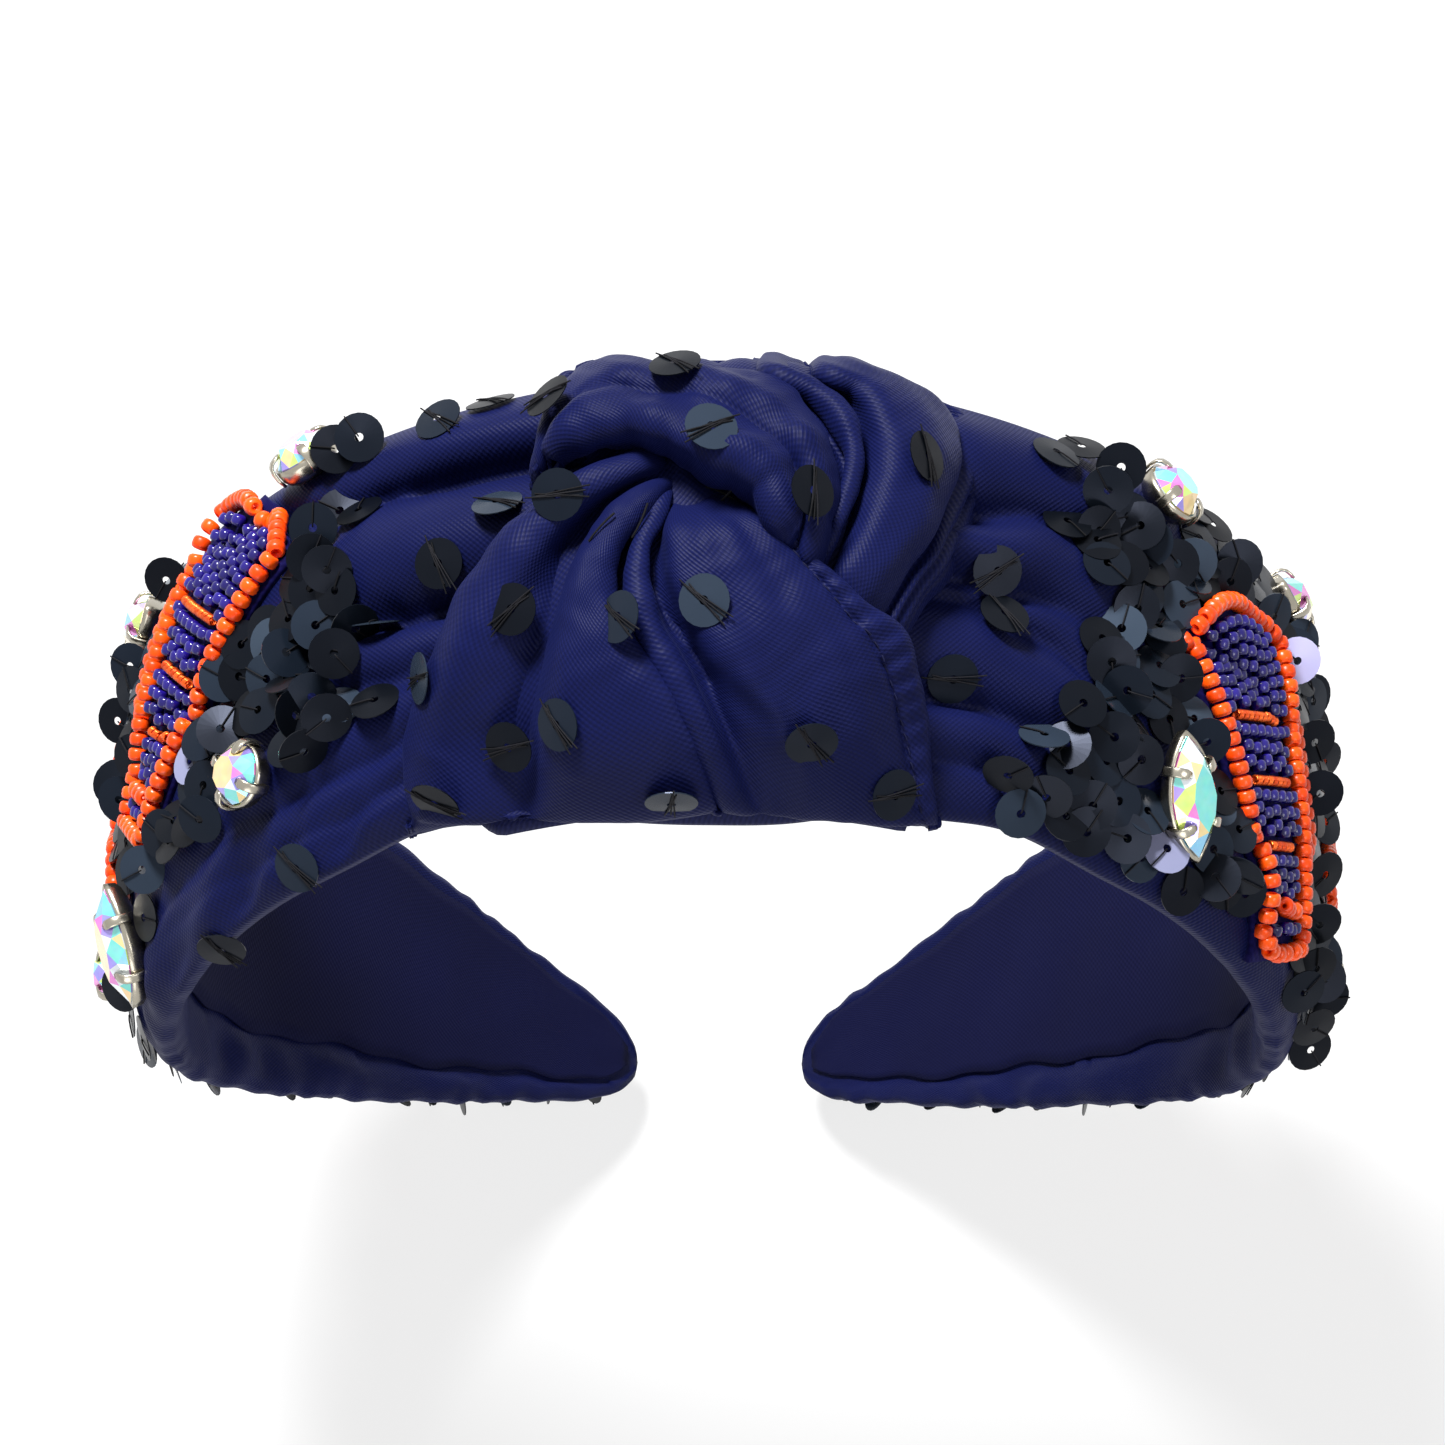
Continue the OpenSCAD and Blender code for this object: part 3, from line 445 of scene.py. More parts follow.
def padded_arm(name, side):
    """Closed, padded form of one arm: crowned outside, folded round its edges, rounded and sewn at the tip."""
    us = np.concatenate([np.linspace(0, TIP_START, ARM_ROWS), TIP_START + np.linspace(0.4, 7.5, TIP_ROWS)])
    outer = -np.cos(np.linspace(0, math.pi, OUTER_COLS))
    inner = np.linspace(0.985, -0.985, INNER_COLS)
    rings = []
    for u in us:
        past = max(u - TIP_START, 0) / (TIP_ROUND + TIP_PAST)
        draw = math.sqrt(max(1 - past**2.2, 0.0004))
        # Drawn in at the knot, and slightly scalloped along its edges
        pinch = 1.6 * math.exp(-(((u - 33) / 9) ** 2))
        scallop = 0.32 * math.sin(0.83 * u + 2 * math.sin(0.19 * u + side)) * math.sin(0.29 * u)
        scallop *= np.clip((u - 60) / 40, 0, 1)
        w, c = half_w(u) * draw - pinch / 2 + scallop * draw, mid_y(u) + pinch / 2
        level = EDGE_H + (cloth_h(side, u, outer) - EDGE_H) * draw**0.7
        # Wrinkles in the plain strip at the left arm's front edge
        off = w * (1 + outer)
        strip = np.clip(off / 2, 0, 1) * np.clip(1.2 - off / 7, 0, 1) if side < 0 else 0.0
        strip = strip * np.interp(u, [30, 40, 92, 104], [0, 1, 1, 0])
        level += 1.5 * strip * np.sin(0.40 * u + 0.5 * off + 2 * math.sin(0.13 * u)) * math.sin(0.16 * u + 1.3)
        # Puckers in the turned-in cloth, which lie down at the edge and before the lining
        edge = w * (1 - np.abs(inner))
        sway = 2.2 * math.sin(0.11 * u + side) + 1.4 * math.sin(0.047 * u)
        pucker = 0.8 * np.sin(0.31 * u + sway + 5 * inner) * np.sin(0.13 * u + 2.1 * side + 3 * inner) - 0.2
        bare = np.where(inner < 0, np.interp(u, *LINING_FRONT), np.interp(u, *LINING_BACK)) - 0.8
        held = np.clip(edge / 3, 0, 1) * np.clip((bare - edge) / 1.5, 0, 1)
        tuck = np.where(edge < bare, 0.15 + pucker * held, 0.5)
        tuck = np.where(edge < 1.2, 0.75 - 0.5 * edge, tuck)
        tuck = EDGE_H + (tuck - EDGE_H) * draw**0.5
        rings.append(
            np.concatenate([band_point(side, u, c + w * outer, level), band_point(side, u, c + w * inner, tuck)])
        )
    grid = np.array(rings)
    # Softened outside, short of the tip and of the edges
    here, before, after = slice(1, -TIP_ROWS - 1), slice(-TIP_ROWS - 2), slice(2, -TIP_ROWS)
    face = slice(3, OUTER_COLS - 3)
    for _ in range(3):
        beside_it = (np.roll(grid, 1, 1) + np.roll(grid, -1, 1)) / 2
        nearby = grid[before, face] + grid[after, face]
        grid[here, face] = 0.4 * grid[here, face] + 0.3 * beside_it[here, face] + 0.15 * nearby
    rows, cols = grid.shape[:2]
    faces = grid_faces(rows, cols, ring=True).tolist()
    if side > 0:
        faces = [f[::-1] for f in faces]
    ends = [list(range(cols)), list(range((rows - 1) * cols, rows * cols))]
    ends[0 if side < 0 else 1].reverse()
    reach = np.concatenate([outer, inner]) * WEAVE_HALF
    uv = np.stack(np.broadcast_arrays(us[:, None], reach[None, :]), -1).reshape(-1, 2)
    return make_piece(name, grid.reshape(-1, 3), faces + ends, satin, uv)


arms = {}
for word, side in SIDES.items():
    arm = padded_arm(f"padded_arm_{word}", side)
    trim(arm, "satin_cover", f"cover_{word}", f"padding_{word}")
    arms[word] = arm


def head_side(grid):
    """Direction towards the head from points of the inner face."""
    d = -grid.copy()
    d[..., 1] = 0
    return d


def inner_lining():
    """Lining strip along the whole inner face, laid over the turned-in cloth."""
    last = HALF_LEN - 1.4
    share = np.linspace(-1, 1, LINING_COLS)
    rows = []
    for u in np.linspace(-last, last, LINING_ROWS):
        d = abs(u)
        uneven = 0.4 * math.sin(0.21 * u) + 0.3 * math.sin(0.53 * u + 1)
        front = mid_y(d) - half_w(d) + np.interp(d, *LINING_FRONT) + uneven
        back = mid_y(d) + half_w(d) - np.interp(d, *LINING_BACK) + 0.6 * uneven
        w = (back - front) / 2 * math.sqrt(min(1, (HALF_LEN - 0.8 - d) / 5))
        ripple = 0.07 * np.sin(0.4 * u + 3 * share)
        level = -0.1 + ripple * (1 - share**2)
        rows.append(band_point(1 if u >= 0 else -1, d, (front + back) / 2 + w * share, level))
    return cloth_sheet("inner_lining", np.array(rows), lining_cloth, LINING_T, head_side)


lining = inner_lining()
trim(lining, "lining_cloth", "lining")

# Knot: fold lines from the knot's eye outwards, as place across, place along and lift over the dome, in millimetres
KNOT_C = np.array([0.0, 3.0])
KNOT_LEFT, KNOT_RIGHT, KNOT_FRONT, KNOT_BACK, KNOT_RISE = 34.0, 28.0, 32.0, 23.0, 12.0
# How round the knot's outline is, and how far the folds' lifts are carried
KNOT_ROUND, FOLD_RISE = 2.6, 1.15


def knot_reach(a):
    """Distance of the knot's outline from its middle."""
    x = np.where(np.cos(a) > 0, KNOT_RIGHT, KNOT_LEFT)
    y = np.where(np.sin(a) > 0, KNOT_BACK, KNOT_FRONT)
    sides = (np.abs(np.cos(a)) / x) ** KNOT_ROUND + (np.abs(np.sin(a)) / y) ** KNOT_ROUND
    return 1 / sides ** (1 / KNOT_ROUND)


def crown_z(x, y):
    """Height of the band's outer face over the crown."""
    s = np.clip((y + 0.75) / 25.75, -1, 1)
    return np.sqrt(np.maximum((CROWN_R + 3.6 + 3.4 * (1 - s * s) ** 0.8) ** 2 - x * x, 1))


def knot_dome(x, y):
    """Height of the dome that the folds lie on."""
    d = np.stack([x, y], -1) - KNOT_C
    f = np.minimum(np.linalg.norm(d, axis=-1) / knot_reach(np.arctan2(d[..., 1], d[..., 0])), 1)
    return crown_z(x, np.clip(y, -26.5, 25)) + 1 + KNOT_RISE * (1 - f**2.4) ** 0.55


def on_dome(line):
    """Points in space of a fold line."""
    p = np.asarray(line, float)
    return np.column_stack([p[:, 0], p[:, 1], knot_dome(p[:, 0], p[:, 1]) + FOLD_RISE * p[:, 2]])


def beyond(line, first, share, drop):
    """A fold line with one more point past its first or last one, tucked lower."""
    p = [tuple(q) for q in line]
    a, b = (p[0], p[1]) if first else (p[-1], p[-2])
    q = (a[0] + share * (a[0] - b[0]), a[1] + share * (a[1] - b[1]), a[2] - drop)
    return [q] + p if first else p + [q]


def beside(line, near, share, drop):
    """A fold line a share further out than its neighbour, and lower."""
    return [
        (a[0] + share * (a[0] - b[0]), a[1] + share * (a[1] - b[1]), a[2] - drop) for a, b in zip(line, near)
    ]


def round_edge(points, y_at, way):
    """Points that carry a fold line round the band's edge and in under it."""
    x = points[-1][0]
    out = 1.8 - 3.4 * min(abs(x) / 34, 1) ** 2
    spots = [(out - 0.2, 69.6), (out, 67.9), (out - 0.6, 65.9), (-2.4, 65.2), (-7.0, 65.3)]
    edge = y_at(math.atan2(abs(x), points[-1][2]) * CROWN_R)
    return np.array([(x, edge + way * o, math.sqrt(r * r - x * x)) for o, r in spots])


PANEL = [
    [(-8.8, 9.3, -3.0), (-14.4, 7.0, -2.7), (-19.6, 4.1, -2.4), (-24.9, -0.3, -2.1), (-29.2, -5.9, -1.9),
     (-32.3, -11.1, -1.6), (-33.7, -17.5, -1.3), (-34.2, -23.7, -1.0)],
    [(-8.3, 7.4, -2.0), (-13.9, 4.8, -0.9), (-18.8, 1.1, 0.0), (-23.2, -3.9, 0.6), (-26.8, -9.2, 1.0),
     (-29.5, -14.4, 1.1), (-31.3, -19.6, 1.0), (-31.7, -26.4, 0.6)],
    [(-7.8, 6.2, -2.4), (-12.0, 3.6, -1.8), (-15.7, -0.2, -1.2), (-18.7, -4.8, -0.8), (-20.7, -10.2, -0.4),
     (-22.1, -15.8, -0.2), (-22.9, -21.7, 0.0), (-22.7, -27.8, 0.0)],
    [(-7.3, 5.3, -2.4), (-10.5, 2.2, -1.2), (-13.3, -1.9, -0.3), (-15.3, -7.2, 0.4), (-15.9, -13.3, 0.8),
     (-15.9, -19.3, 1.0), (-15.4, -24.3, 0.9), (-14.5, -28.3, 0.6)],
    [(-6.8, 4.6, -2.6), (-9.6, 1.2, -1.4), (-12.5, -2.9, -0.5), (-12.9, -7.9, 0.2), (-11.2, -12.8, 0.6),
     (-7.9, -17.8, 0.8), (-4.6, -23.1, 0.7), (-1.8, -28.4, 0.4)],
    [(-6.6, 4.5, -3.0), (-8.7, 1.4, -2.7), (-10.9, -2.3, -2.3), (-10.9, -7.3, -2.0), (-9.2, -12.6, -1.6),
     (-6.6, -17.2, -1.3), (-3.7, -22.7, -0.9), (-0.6, -28.3, -0.6)],
    [(-6.3, 4.2, -2.8), (-7.7, 0.7, -1.7), (-9.0, -3.1, -0.7), (-9.0, -8.2, -0.1), (-7.5, -13.0, 0.4),
     (-4.7, -17.9, 0.6), (-1.8, -23.1, 0.6), (1.0, -28.4, 0.4)],
    [(-5.9, 3.7, -3.0), (-6.8, 0.4, -2.4), (-7.4, -2.8, -1.9), (-6.6, -7.8, -1.4), (-4.7, -12.6, -1.0),
     (-1.9, -17.5, -0.6), (0.5, -22.1, -0.2), (3.8, -28.7, 0.2)],
    [(-4.4, 2.3, -2.8), (-5.2, -2.0, -0.2), (-4.3, -6.7, 0.4), (-2.2, -11.4, 0.8), (0.6, -15.9, 1.0),
     (3.9, -19.6, 1.0), (6.5, -23.8, 0.9), (8.1, -28.5, 0.6)],
    [(-2.1, 3.3, -3.4), (-1.8, -1.7, -0.1), (0.3, -7.2, 0.6), (3.1, -12.4, 1.0), (6.0, -17.1, 1.3),
     (8.6, -21.1, 1.3), (10.8, -24.6, 1.2), (12.3, -28.7, 0.8)],
    [(-0.2, 3.8, -3.6), (1.7, -1.2, 0.0), (4.7, -6.2, 0.7), (8.2, -11.3, 1.2), (11.1, -15.5, 1.5),
     (13.7, -19.3, 1.6), (15.5, -23.2, 1.4), (16.6, -28.7, 1.0)],
    [(1.2, 3.8, -3.4), (4.0, -0.1, 0.0), (7.7, -4.6, 0.8), (12.0, -9.5, 1.3), (15.3, -13.2, 1.6),
     (17.7, -16.6, 1.7), (19.5, -21.2, 1.4), (21.1, -28.2, 1.0)],
    [(1.9, 4.2, -2.6), (5.4, 0.1, -0.3), (9.6, -4.3, 0.4), (14.1, -8.1, 0.9), (18.6, -10.7, 1.1),
     (20.3, -13.6, 1.1), (21.7, -19.2, 0.9), (23.2, -27.6, 0.5)],
]
LOOP = [
    [(-20.0, 11.9, -1.0), (-19.3, 18.4, -1.0), (-17.0, 25.7, -0.9), (-11.1, 26.5, -1.0), (-3.2, 21.4, -1.0),
     (4.5, 18.9, -1.1), (9.7, 14.1, -1.2), (13.0, 5.6, -1.3), (11.3, -2.3, -1.5)],
    [(-19.0, 12.1, 0.5), (-17.5, 16.5, 1.0), (-13.7, 19.1, 1.3), (-8.9, 18.5, 1.5), (-2.7, 17.0, 1.6),
     (3.5, 14.5, 1.5), (7.7, 10.2, 1.3), (10.1, 3.6, 0.9), (9.4, -2.3, 0.4)],
    [(-17.8, 11.3, 0.2), (-15.5, 14.3, 0.6), (-11.7, 15.4, 0.9), (-7.4, 14.2, 1.1), (-2.2, 12.1, 1.2),
     (2.5, 9.9, 1.1), (5.6, 6.8, 0.9), (7.3, 2.4, 0.6), (7.7, -1.4, 0.2)],
    [(-17.1, 10.5, 0.6), (-14.0, 11.3, 1.8), (-10.2, 11.6, 2.6), (-6.8, 9.5, 3.0), (-2.6, 7.1, 3.2),
     (1.2, 6.1, 3.1), (4.0, 4.3, 2.6), (5.6, 1.6, 1.8), (6.6, -0.5, 0.6)],
    [(-16.9, 9.8, -1.8), (-13.0, 9.9, -1.8), (-9.2, 9.6, -1.8), (-6.4, 7.4, -1.8), (-2.6, 5.3, -1.8),
     (0.7, 5.0, -1.8), (3.1, 3.9, -1.7), (4.9, 1.4, -1.5), (5.9, -0.5, -1.4)],
]
ROLLS = [
    [(4.0, 20.0, -1.5), (8.3, 16.6, -1.4), (11.1, 12.6, -1.4), (13.0, 7.8, -1.6), (12.0, 2.6, -2.0),
     (10.2, -2.6, -2.5)],
    [(4.9, 19.4, 0.3), (9.4, 17.3, 0.7), (12.5, 14.2, 0.7), (14.1, 9.4, 0.4), (13.2, 3.5, -0.2),
     (11.1, -2.0, -1.2)],
    [(8.8, 19.6, -1.2), (12.1, 17.9, -1.1), (14.2, 14.3, -1.1), (15.2, 9.3, -1.3), (13.7, 3.2, -1.6),
     (11.6, -3.1, -2.0)],
    [(10.7, 19.8, 0.8), (15.0, 18.0, 1.3), (17.8, 14.1, 1.4), (18.7, 8.0, 1.1), (16.7, 1.5, 0.4),
     (13.0, -4.8, -0.8)],
    [(14.1, 21.6, 0.8), (20.0, 19.9, 1.5), (22.8, 15.1, 1.7), (22.8, 8.4, 1.4), (20.6, 1.4, 0.6),
     (15.8, -6.3, -0.6)],
    [(18.3, 23.6, 0.0), (24.7, 21.4, 0.4), (26.8, 17.1, 0.5), (26.0, 10.3, 0.2), (23.1, 1.8, -0.3),
     (18.0, -7.5, -1.2)],
    [(19.3, 23.7, -0.5), (25.7, 21.7, -0.3), (27.7, 17.1, -0.3), (27.2, 12.0, -0.5), (24.0, 1.7, -1.0),
     (18.7, -7.9, -1.6)],
    [(20.3, 24.4, -2.0), (27.1, 22.2, -1.9), (28.8, 17.5, -2.0), (28.2, 11.7, -2.1), (25.2, 1.5, -2.2),
     (19.5, -8.3, -2.5)],
]


def up_and_out(grid):
    d = grid.copy()
    d[..., 1] *= 0.3
    return d


def relax(grid, rounds, keep):
    """Soften a grid of points, leaving its rim and the given share of its shape."""
    for _ in range(rounds):
        soft = grid.copy()
        soft[1:-1, 1:-1] = (grid[:-2, 1:-1] + grid[2:, 1:-1] + grid[1:-1, :-2] + grid[1:-1, 2:]) / 4
        grid = keep * grid + (1 - keep) * soft
    return grid


def dents(grid):
    """Soft, uneven dents of handled cloth."""
    x, y = grid[..., 0], grid[..., 1]
    slow = np.sin(x / 2.3 + 1.3 * np.sin(y / 3.3)) * np.sin(y / 2.8 + 1.1 * np.sin(x / 4.1))
    return 0.3 * slow + 0.12 * np.sin(x / 0.9 + 2 * np.sin(y / 1.7)) * np.sin(y / 1.1 + 1.4 * np.sin(x / 2.2))


def plump(grid, across, rolls, fade):
    """Swell a lofted grid into round folds with sharp valleys: first line, last line, height and flatness of each."""
    step = np.cross(np.gradient(grid, axis=0), np.gradient(grid, axis=1))
    normal = step / np.maximum(np.linalg.norm(step, axis=2, keepdims=True), 1e-9)
    if np.sum(normal * up_and_out(grid)) < 0:
        normal = -normal
    v = (np.arange(grid.shape[0]) / across)[:, None]
    t = np.linspace(0, 1, grid.shape[1])[None, :]
    wobble = 0.1 * np.sin(9 * t + 2.3 * v) + 0.06 * np.sin(23 * t + v)
    swell = np.zeros(grid.shape[:2])
    for first, last, high, flat in rolls:
        x = np.clip((2 * (v + wobble) - first - last) / (last - first), -1, 1)
        swell += np.where(np.abs(x) < 1, high * ((1 - x * x) ** flat - 0.62), 0)
    gap = np.linalg.norm(np.gradient(grid, axis=0), axis=2) * across
    fine = 0.2 * np.sin(5.3 * v + 3 * np.sin(4 * t)) * np.sin(9 * t + 1.7 * v) * np.clip(gap / 4, 0, 1) ** 2
    return grid + normal * ((swell + fine) * fade(t) + dents(grid))[..., None]


def folded(solid, along, across, rounds, keep, rolls, ends, shares):
    """Grid of a cloth through fold lines, softened and then swelled into rolls by shares at places along it."""
    grid = relax(loft(solid, along, across), rounds, keep)
    return plump(grid, across, rolls, lambda t: np.interp(t, ends, shares))


# Grid steps along each cloth, and from one fold line to the next
PANEL_ALONG, LOOP_ALONG, ROLLS_ALONG = 180, 100, 100
PANEL_ACROSS, LOOP_ACROSS, ROLLS_ACROSS = 12, 14, 12
# Of the panel's grid: rows of the hem's seam and of its stitches, columns that they show in and of the fold over
# the band's edge
SEAM_ROW, STITCH_ROW, HEM_COLS, FOLD_COLS = 148, 147, slice(33, 122), slice(98, 128)
LOOP_BACK, LOOP_DROP, LOOP_R = 26.2, 24.8, 67.8
hem_line = []


def knot_panel():
    """Front tail of the knot: pleats that fan out from the eye, and a flap with a turned hem."""
    lines = [beside(PANEL[0], PANEL[1], 0.1, 4.6)] + PANEL
    hem = [(a[0] + 0.35, a[1] + 0.3, a[2] - 0.9) for a in PANEL[-1]]
    under = [(0.7 * a[0] + 0.3 * b[0], 0.7 * a[1] + 0.3 * b[1], a[2] - 1.3) for a, b in zip(PANEL[-1], PANEL[-2])]
    lines += [hem, under]
    solid = []
    for line in lines:
        points = on_dome(beyond(line, True, 0.7, 4.5))
        solid.append(np.concatenate([points, round_edge(points, lambda u: station(FRONT, u), -1)]))
    grid = folded(
        solid, PANEL_ALONG, PANEL_ACROSS, 5, 0.4,
        [(0.6, 3, 6.0, 0.5), (3, 6, 5.8, 0.5), (6, 8, 3.8, 0.5), (8, 12.3, 2.8, 0.38), (12.3, 13.8, 1.1, 0.5)],
        [0, 0.08, 0.16, 0.5, 0.59, 0.66, 1], [0.3, 0.7, 1, 1, 0.75, 0.2, 0],
    )
    grid = relax(grid, 2, 0.6)
    grid[:, FOLD_COLS] = relax(grid[:, FOLD_COLS], 6, 0.3)
    # The hem puckers between its stitches
    seam = grid[SEAM_ROW]
    run = lengths(seam)
    near = np.exp(-(((np.arange(len(grid)) / PANEL_ACROSS - 12.6) / 0.5) ** 2))
    shown = np.interp(np.arange(len(seam)), [20, 40, 110, 125], [0, 1, 1, 0])
    grid[..., 2] += 0.22 * np.outer(near, shown * np.sin(2 * math.pi * run / 2.8 + np.sin(run / 3)))
    hem_line.extend(grid[STITCH_ROW, HEM_COLS])
    return cloth_sheet("knot_panel", grid, satin, SATIN_T, up_and_out)


def knot_loop():
    """Cloth that comes over the top of the knot and tucks in at its eye."""
    lines = [beside(LOOP[0], LOOP[1], 0.4, 3.5)] + LOOP + [beside(LOOP[-1], LOOP[-2], 0.2, 3.0)]
    solid = np.array([on_dome(beyond(beyond(line, True, 0.8, 3.0), False, 0.8, 3.5)) for line in lines])
    solid[..., 1] = np.minimum(solid[..., 1], LOOP_BACK)
    edge = np.sqrt(LOOP_R**2 - solid[..., 0] ** 2)
    solid[..., 2] = np.where(solid[..., 1] > LOOP_DROP, np.maximum(solid[..., 2], edge), solid[..., 2])
    grid = folded(
        solid, LOOP_ALONG, LOOP_ACROSS, 6, 0.3, [(0.7, 5.5, 4.4, 0.5)], [0, 0.15, 0.5, 0.85, 1], [0.5, 0.9, 1, 1, 0.7]
    )
    grid = plump(
        grid, LOOP_ACROSS, [(0.9, 2.6, 1.5, 0.5), (2.6, 5.4, 2.2, 0.5)],
        lambda t: np.interp(t, [0, 0.15, 0.3, 0.5, 0.65, 1], [1, 0.9, 0.35, 0.3, 1, 1]),
    )
    return cloth_sheet("knot_loop", relax(grid, 2, 0.6), satin, SATIN_T, up_and_out)


def knot_rolls():
    """Rolled cloth that leaves the knot towards the right arm."""
    lines = [beside(ROLLS[0], ROLLS[1], 0.8, 2.5)] + ROLLS + [beside(ROLLS[-1], ROLLS[-2], 0.6, 2.0)]
    solid = []
    for line in lines:
        points = on_dome(beyond(line, False, 0.6, 3.0))
        back = round_edge(points[::-1], lambda u: station(BACK, u), 1)[::-1]
        solid.append(np.concatenate([back, points]))
    grid = folded(
        solid, ROLLS_ALONG, ROLLS_ACROSS, 4, 0.4,
        [(1, 3, 2.4, 0.5), (3, 6.3, 4.0, 0.5), (6.3, 7.2, 1.2, 0.5), (7.2, 8.4, 1.2, 0.5)],
        [0, 0.25, 0.42, 0.85, 1], [0.1, 0.3, 1, 1, 0.7],
    )
    return cloth_sheet("knot_rolls", relax(grid, 2, 0.6), satin, SATIN_T, up_and_out)


# The wrap's sides, which stay under the folds
WRAP_Y = (-24, -17.5, -11, -6, -0.3, 4, 9, 12, 18, 25)
WRAP_LEFT = (-33, -32, -30, -27, -22.5, -17.5, -15, -17, -17, -15)
WRAP_RIGHT = (21, 19, 16.5, 17, 21, 23, 25, 25.5, 25.5, 23)


def knot_wrap():
    """Cloth wound round the band under the knot, pleated towards the back."""
    a = np.linspace(0, 2 * math.pi, 181)[:-1]
    reach = knot_reach(a)
    rows = []
    for f in np.sin(np.linspace(0.02, 1, 30) * math.pi / 2):
        x, y = KNOT_C[0] + f * reach * np.cos(a), KNOT_C[1] + f * reach * np.sin(a)
        x = np.clip(x, np.interp(y, WRAP_Y, WRAP_LEFT), np.interp(y, WRAP_Y, WRAP_RIGHT))
        pleat = (1.6 * np.abs(np.sin(math.pi * (x + 0.25 * y) / 5.5)) - 0.8) * np.clip((y - 4) / 8, 0, 1)
        rows.append(np.stack([x, y, knot_dome(x, y) - 2.0 - 1.2 * (1 - f) + pleat], -1))
    x, y = rows[-1][:, 0], rows[-1][:, 1]
    ends = np.clip((np.abs(y) - 15) / 8, 0, 1)
    turn = np.arctan2(np.abs(x), rows[-1][:, 2])
    edge = np.where(y > 0, station(BACK, turn * CROWN_R), station(FRONT, turn * CROWN_R))
    way = np.sign(y)
    for out, r in ((1.2, 69.4), (1.7, 67.6), (1.1, 65.9), (-1.6, 65.3), (-7.0, 65.4)):
        yy = np.where(ends > 0, y + ends * (edge + way * out - y), y)
        rr = ends * r + (1 - ends) * 66.5
        rows.append(np.stack([x, yy, np.sqrt(rr * rr - x * x)], -1))
    grid = np.array(rows)
    faces = grid_faces(len(rows), len(a), ring=True).tolist() + [list(range(len(a)))[::-1]]
    uv = np.concatenate([g[:, :2] for g in grid])
    return make_piece("knot_wrap", grid.reshape(-1, 3), faces, satin, uv)


knot = {}
for build, nodes, flat, area, rests in (
    (knot_panel, ("knot_fan", "knot_flap"), (0.062, 0.076), 0.0046, ["padded_arm_left", "padded_arm_right"]),
    (knot_loop, ("knot_top_loop",), (0.032, 0.070), 0.0019, ["knot_panel"]),
    (knot_rolls, ("knot_side_rolls",), (0.040, 0.052), 0.0020, ["padded_arm_right"]),
    (knot_wrap, (), None, None, ()),
):
    piece = build()
    trim(piece, "satin_cover", *nodes)
    knot[piece.name] = piece


# Things that repeat
def spots_mesh(name, places):
    """Points in millimetres, each with the turn of what grows on it."""
    mesh = bpy.data.meshes.new(name)
    mesh.from_pydata([tuple(np.asarray(p) * MM) for p, m in places], [], [])
    turn = mesh.attributes.new("turn", "FLOAT_VECTOR", "POINT")
    turn.data.foreach_set("vector", [c for p, m in places for c in m.to_euler("XYZ")])
    spots = bpy.data.objects.new(name, mesh)
    bpy.context.scene.collection.objects.link(spots)
    return spots


def sweep(tree, path, section, caps=False, smooth=True):
    """Surface of a section swept along a path."""
    ends = {"Curve": path.outputs[0], "Profile Curve": section.outputs[0], "Fill Caps": caps}
    swept = add(tree, "GeometryNodeCurveToMesh", ends)
    return add(tree, "GeometryNodeSetShadeSmooth", {"Geometry": swept.outputs[0], "Shade Smooth": smooth})


def ring_and_section(tree, size, steps):
    """Path and flat section of a ring."""
    ends = {"Resolution": steps, "Radius": size["Ring radius"]}
    path = add(tree, "GeometryNodeCurvePrimitiveCircle", ends, mode="RADIUS")
    ends = {"Width": size["Section width"], "Height": size["Section height"]}
    return path, add(tree, "GeometryNodeCurvePrimitiveQuadrilateral", ends, mode="RECTANGLE")


def bead_shape(tree, size):
    """A ring swept by a rounded section: a barrel with a hole."""
    path, section = ring_and_section(tree, size, 12)
    ends = {"Curve": section.outputs[0], "Count": 2, "Radius": size["Corner radius"], "Limit Radius": True}
    return sweep(tree, path, add(tree, "GeometryNodeFilletCurve", ends, mode="POLY"))


def disc_shape(tree, size):
    """A flat disc with a hole, slightly cupped: a ring swept by a thin flat section."""
    path, section = ring_and_section(tree, size, 22)
    tilt = add(tree, "ShaderNodeCombineXYZ", {2: size["Section tilt"]})
    tilted = add(tree, "GeometryNodeTransform", {"Geometry": section.outputs[0], "Rotation": tilt.outputs[0]})
    return sweep(tree, path, tilted, smooth=False)


def round_wire(tree, path, radius):
    """A round wire along a path, its ends closed."""
    section = add(tree, "GeometryNodeCurvePrimitiveCircle", {"Resolution": 5, "Radius": radius})
    return sweep(tree, path, section, caps=True)


def bar_shape(tree, size):
    """A short round bar along X, bowed up in its middle: a stitch."""
    start = add(tree, "ShaderNodeCombineXYZ", {0: size["From"], 2: size["Low"]})
    middle = add(tree, "ShaderNodeCombineXYZ", {2: size["High"]})
    stop = add(tree, "ShaderNodeCombineXYZ", {0: size["To"], 2: size["Low"]})
    ends = {"Resolution": 4, "Start": start.outputs[0], "Middle": middle.outputs[0], "End": stop.outputs[0]}
    return round_wire(tree, add(tree, "GeometryNodeCurveQuadraticBezier", ends), size["Radius"])


def coil_shape(tree, size):
    """A close coil of wire along Z."""
    ends = {
        "Resolution": 10,
        "Rotations": size["Turns"],
        "Start Radius": size["Coil radius"],
        "End Radius": size["Coil radius"],
        "Height": size["Length"],
    }
    return round_wire(tree, add(tree, "GeometryNodeCurveSpiral", ends), size["Wire radius"])


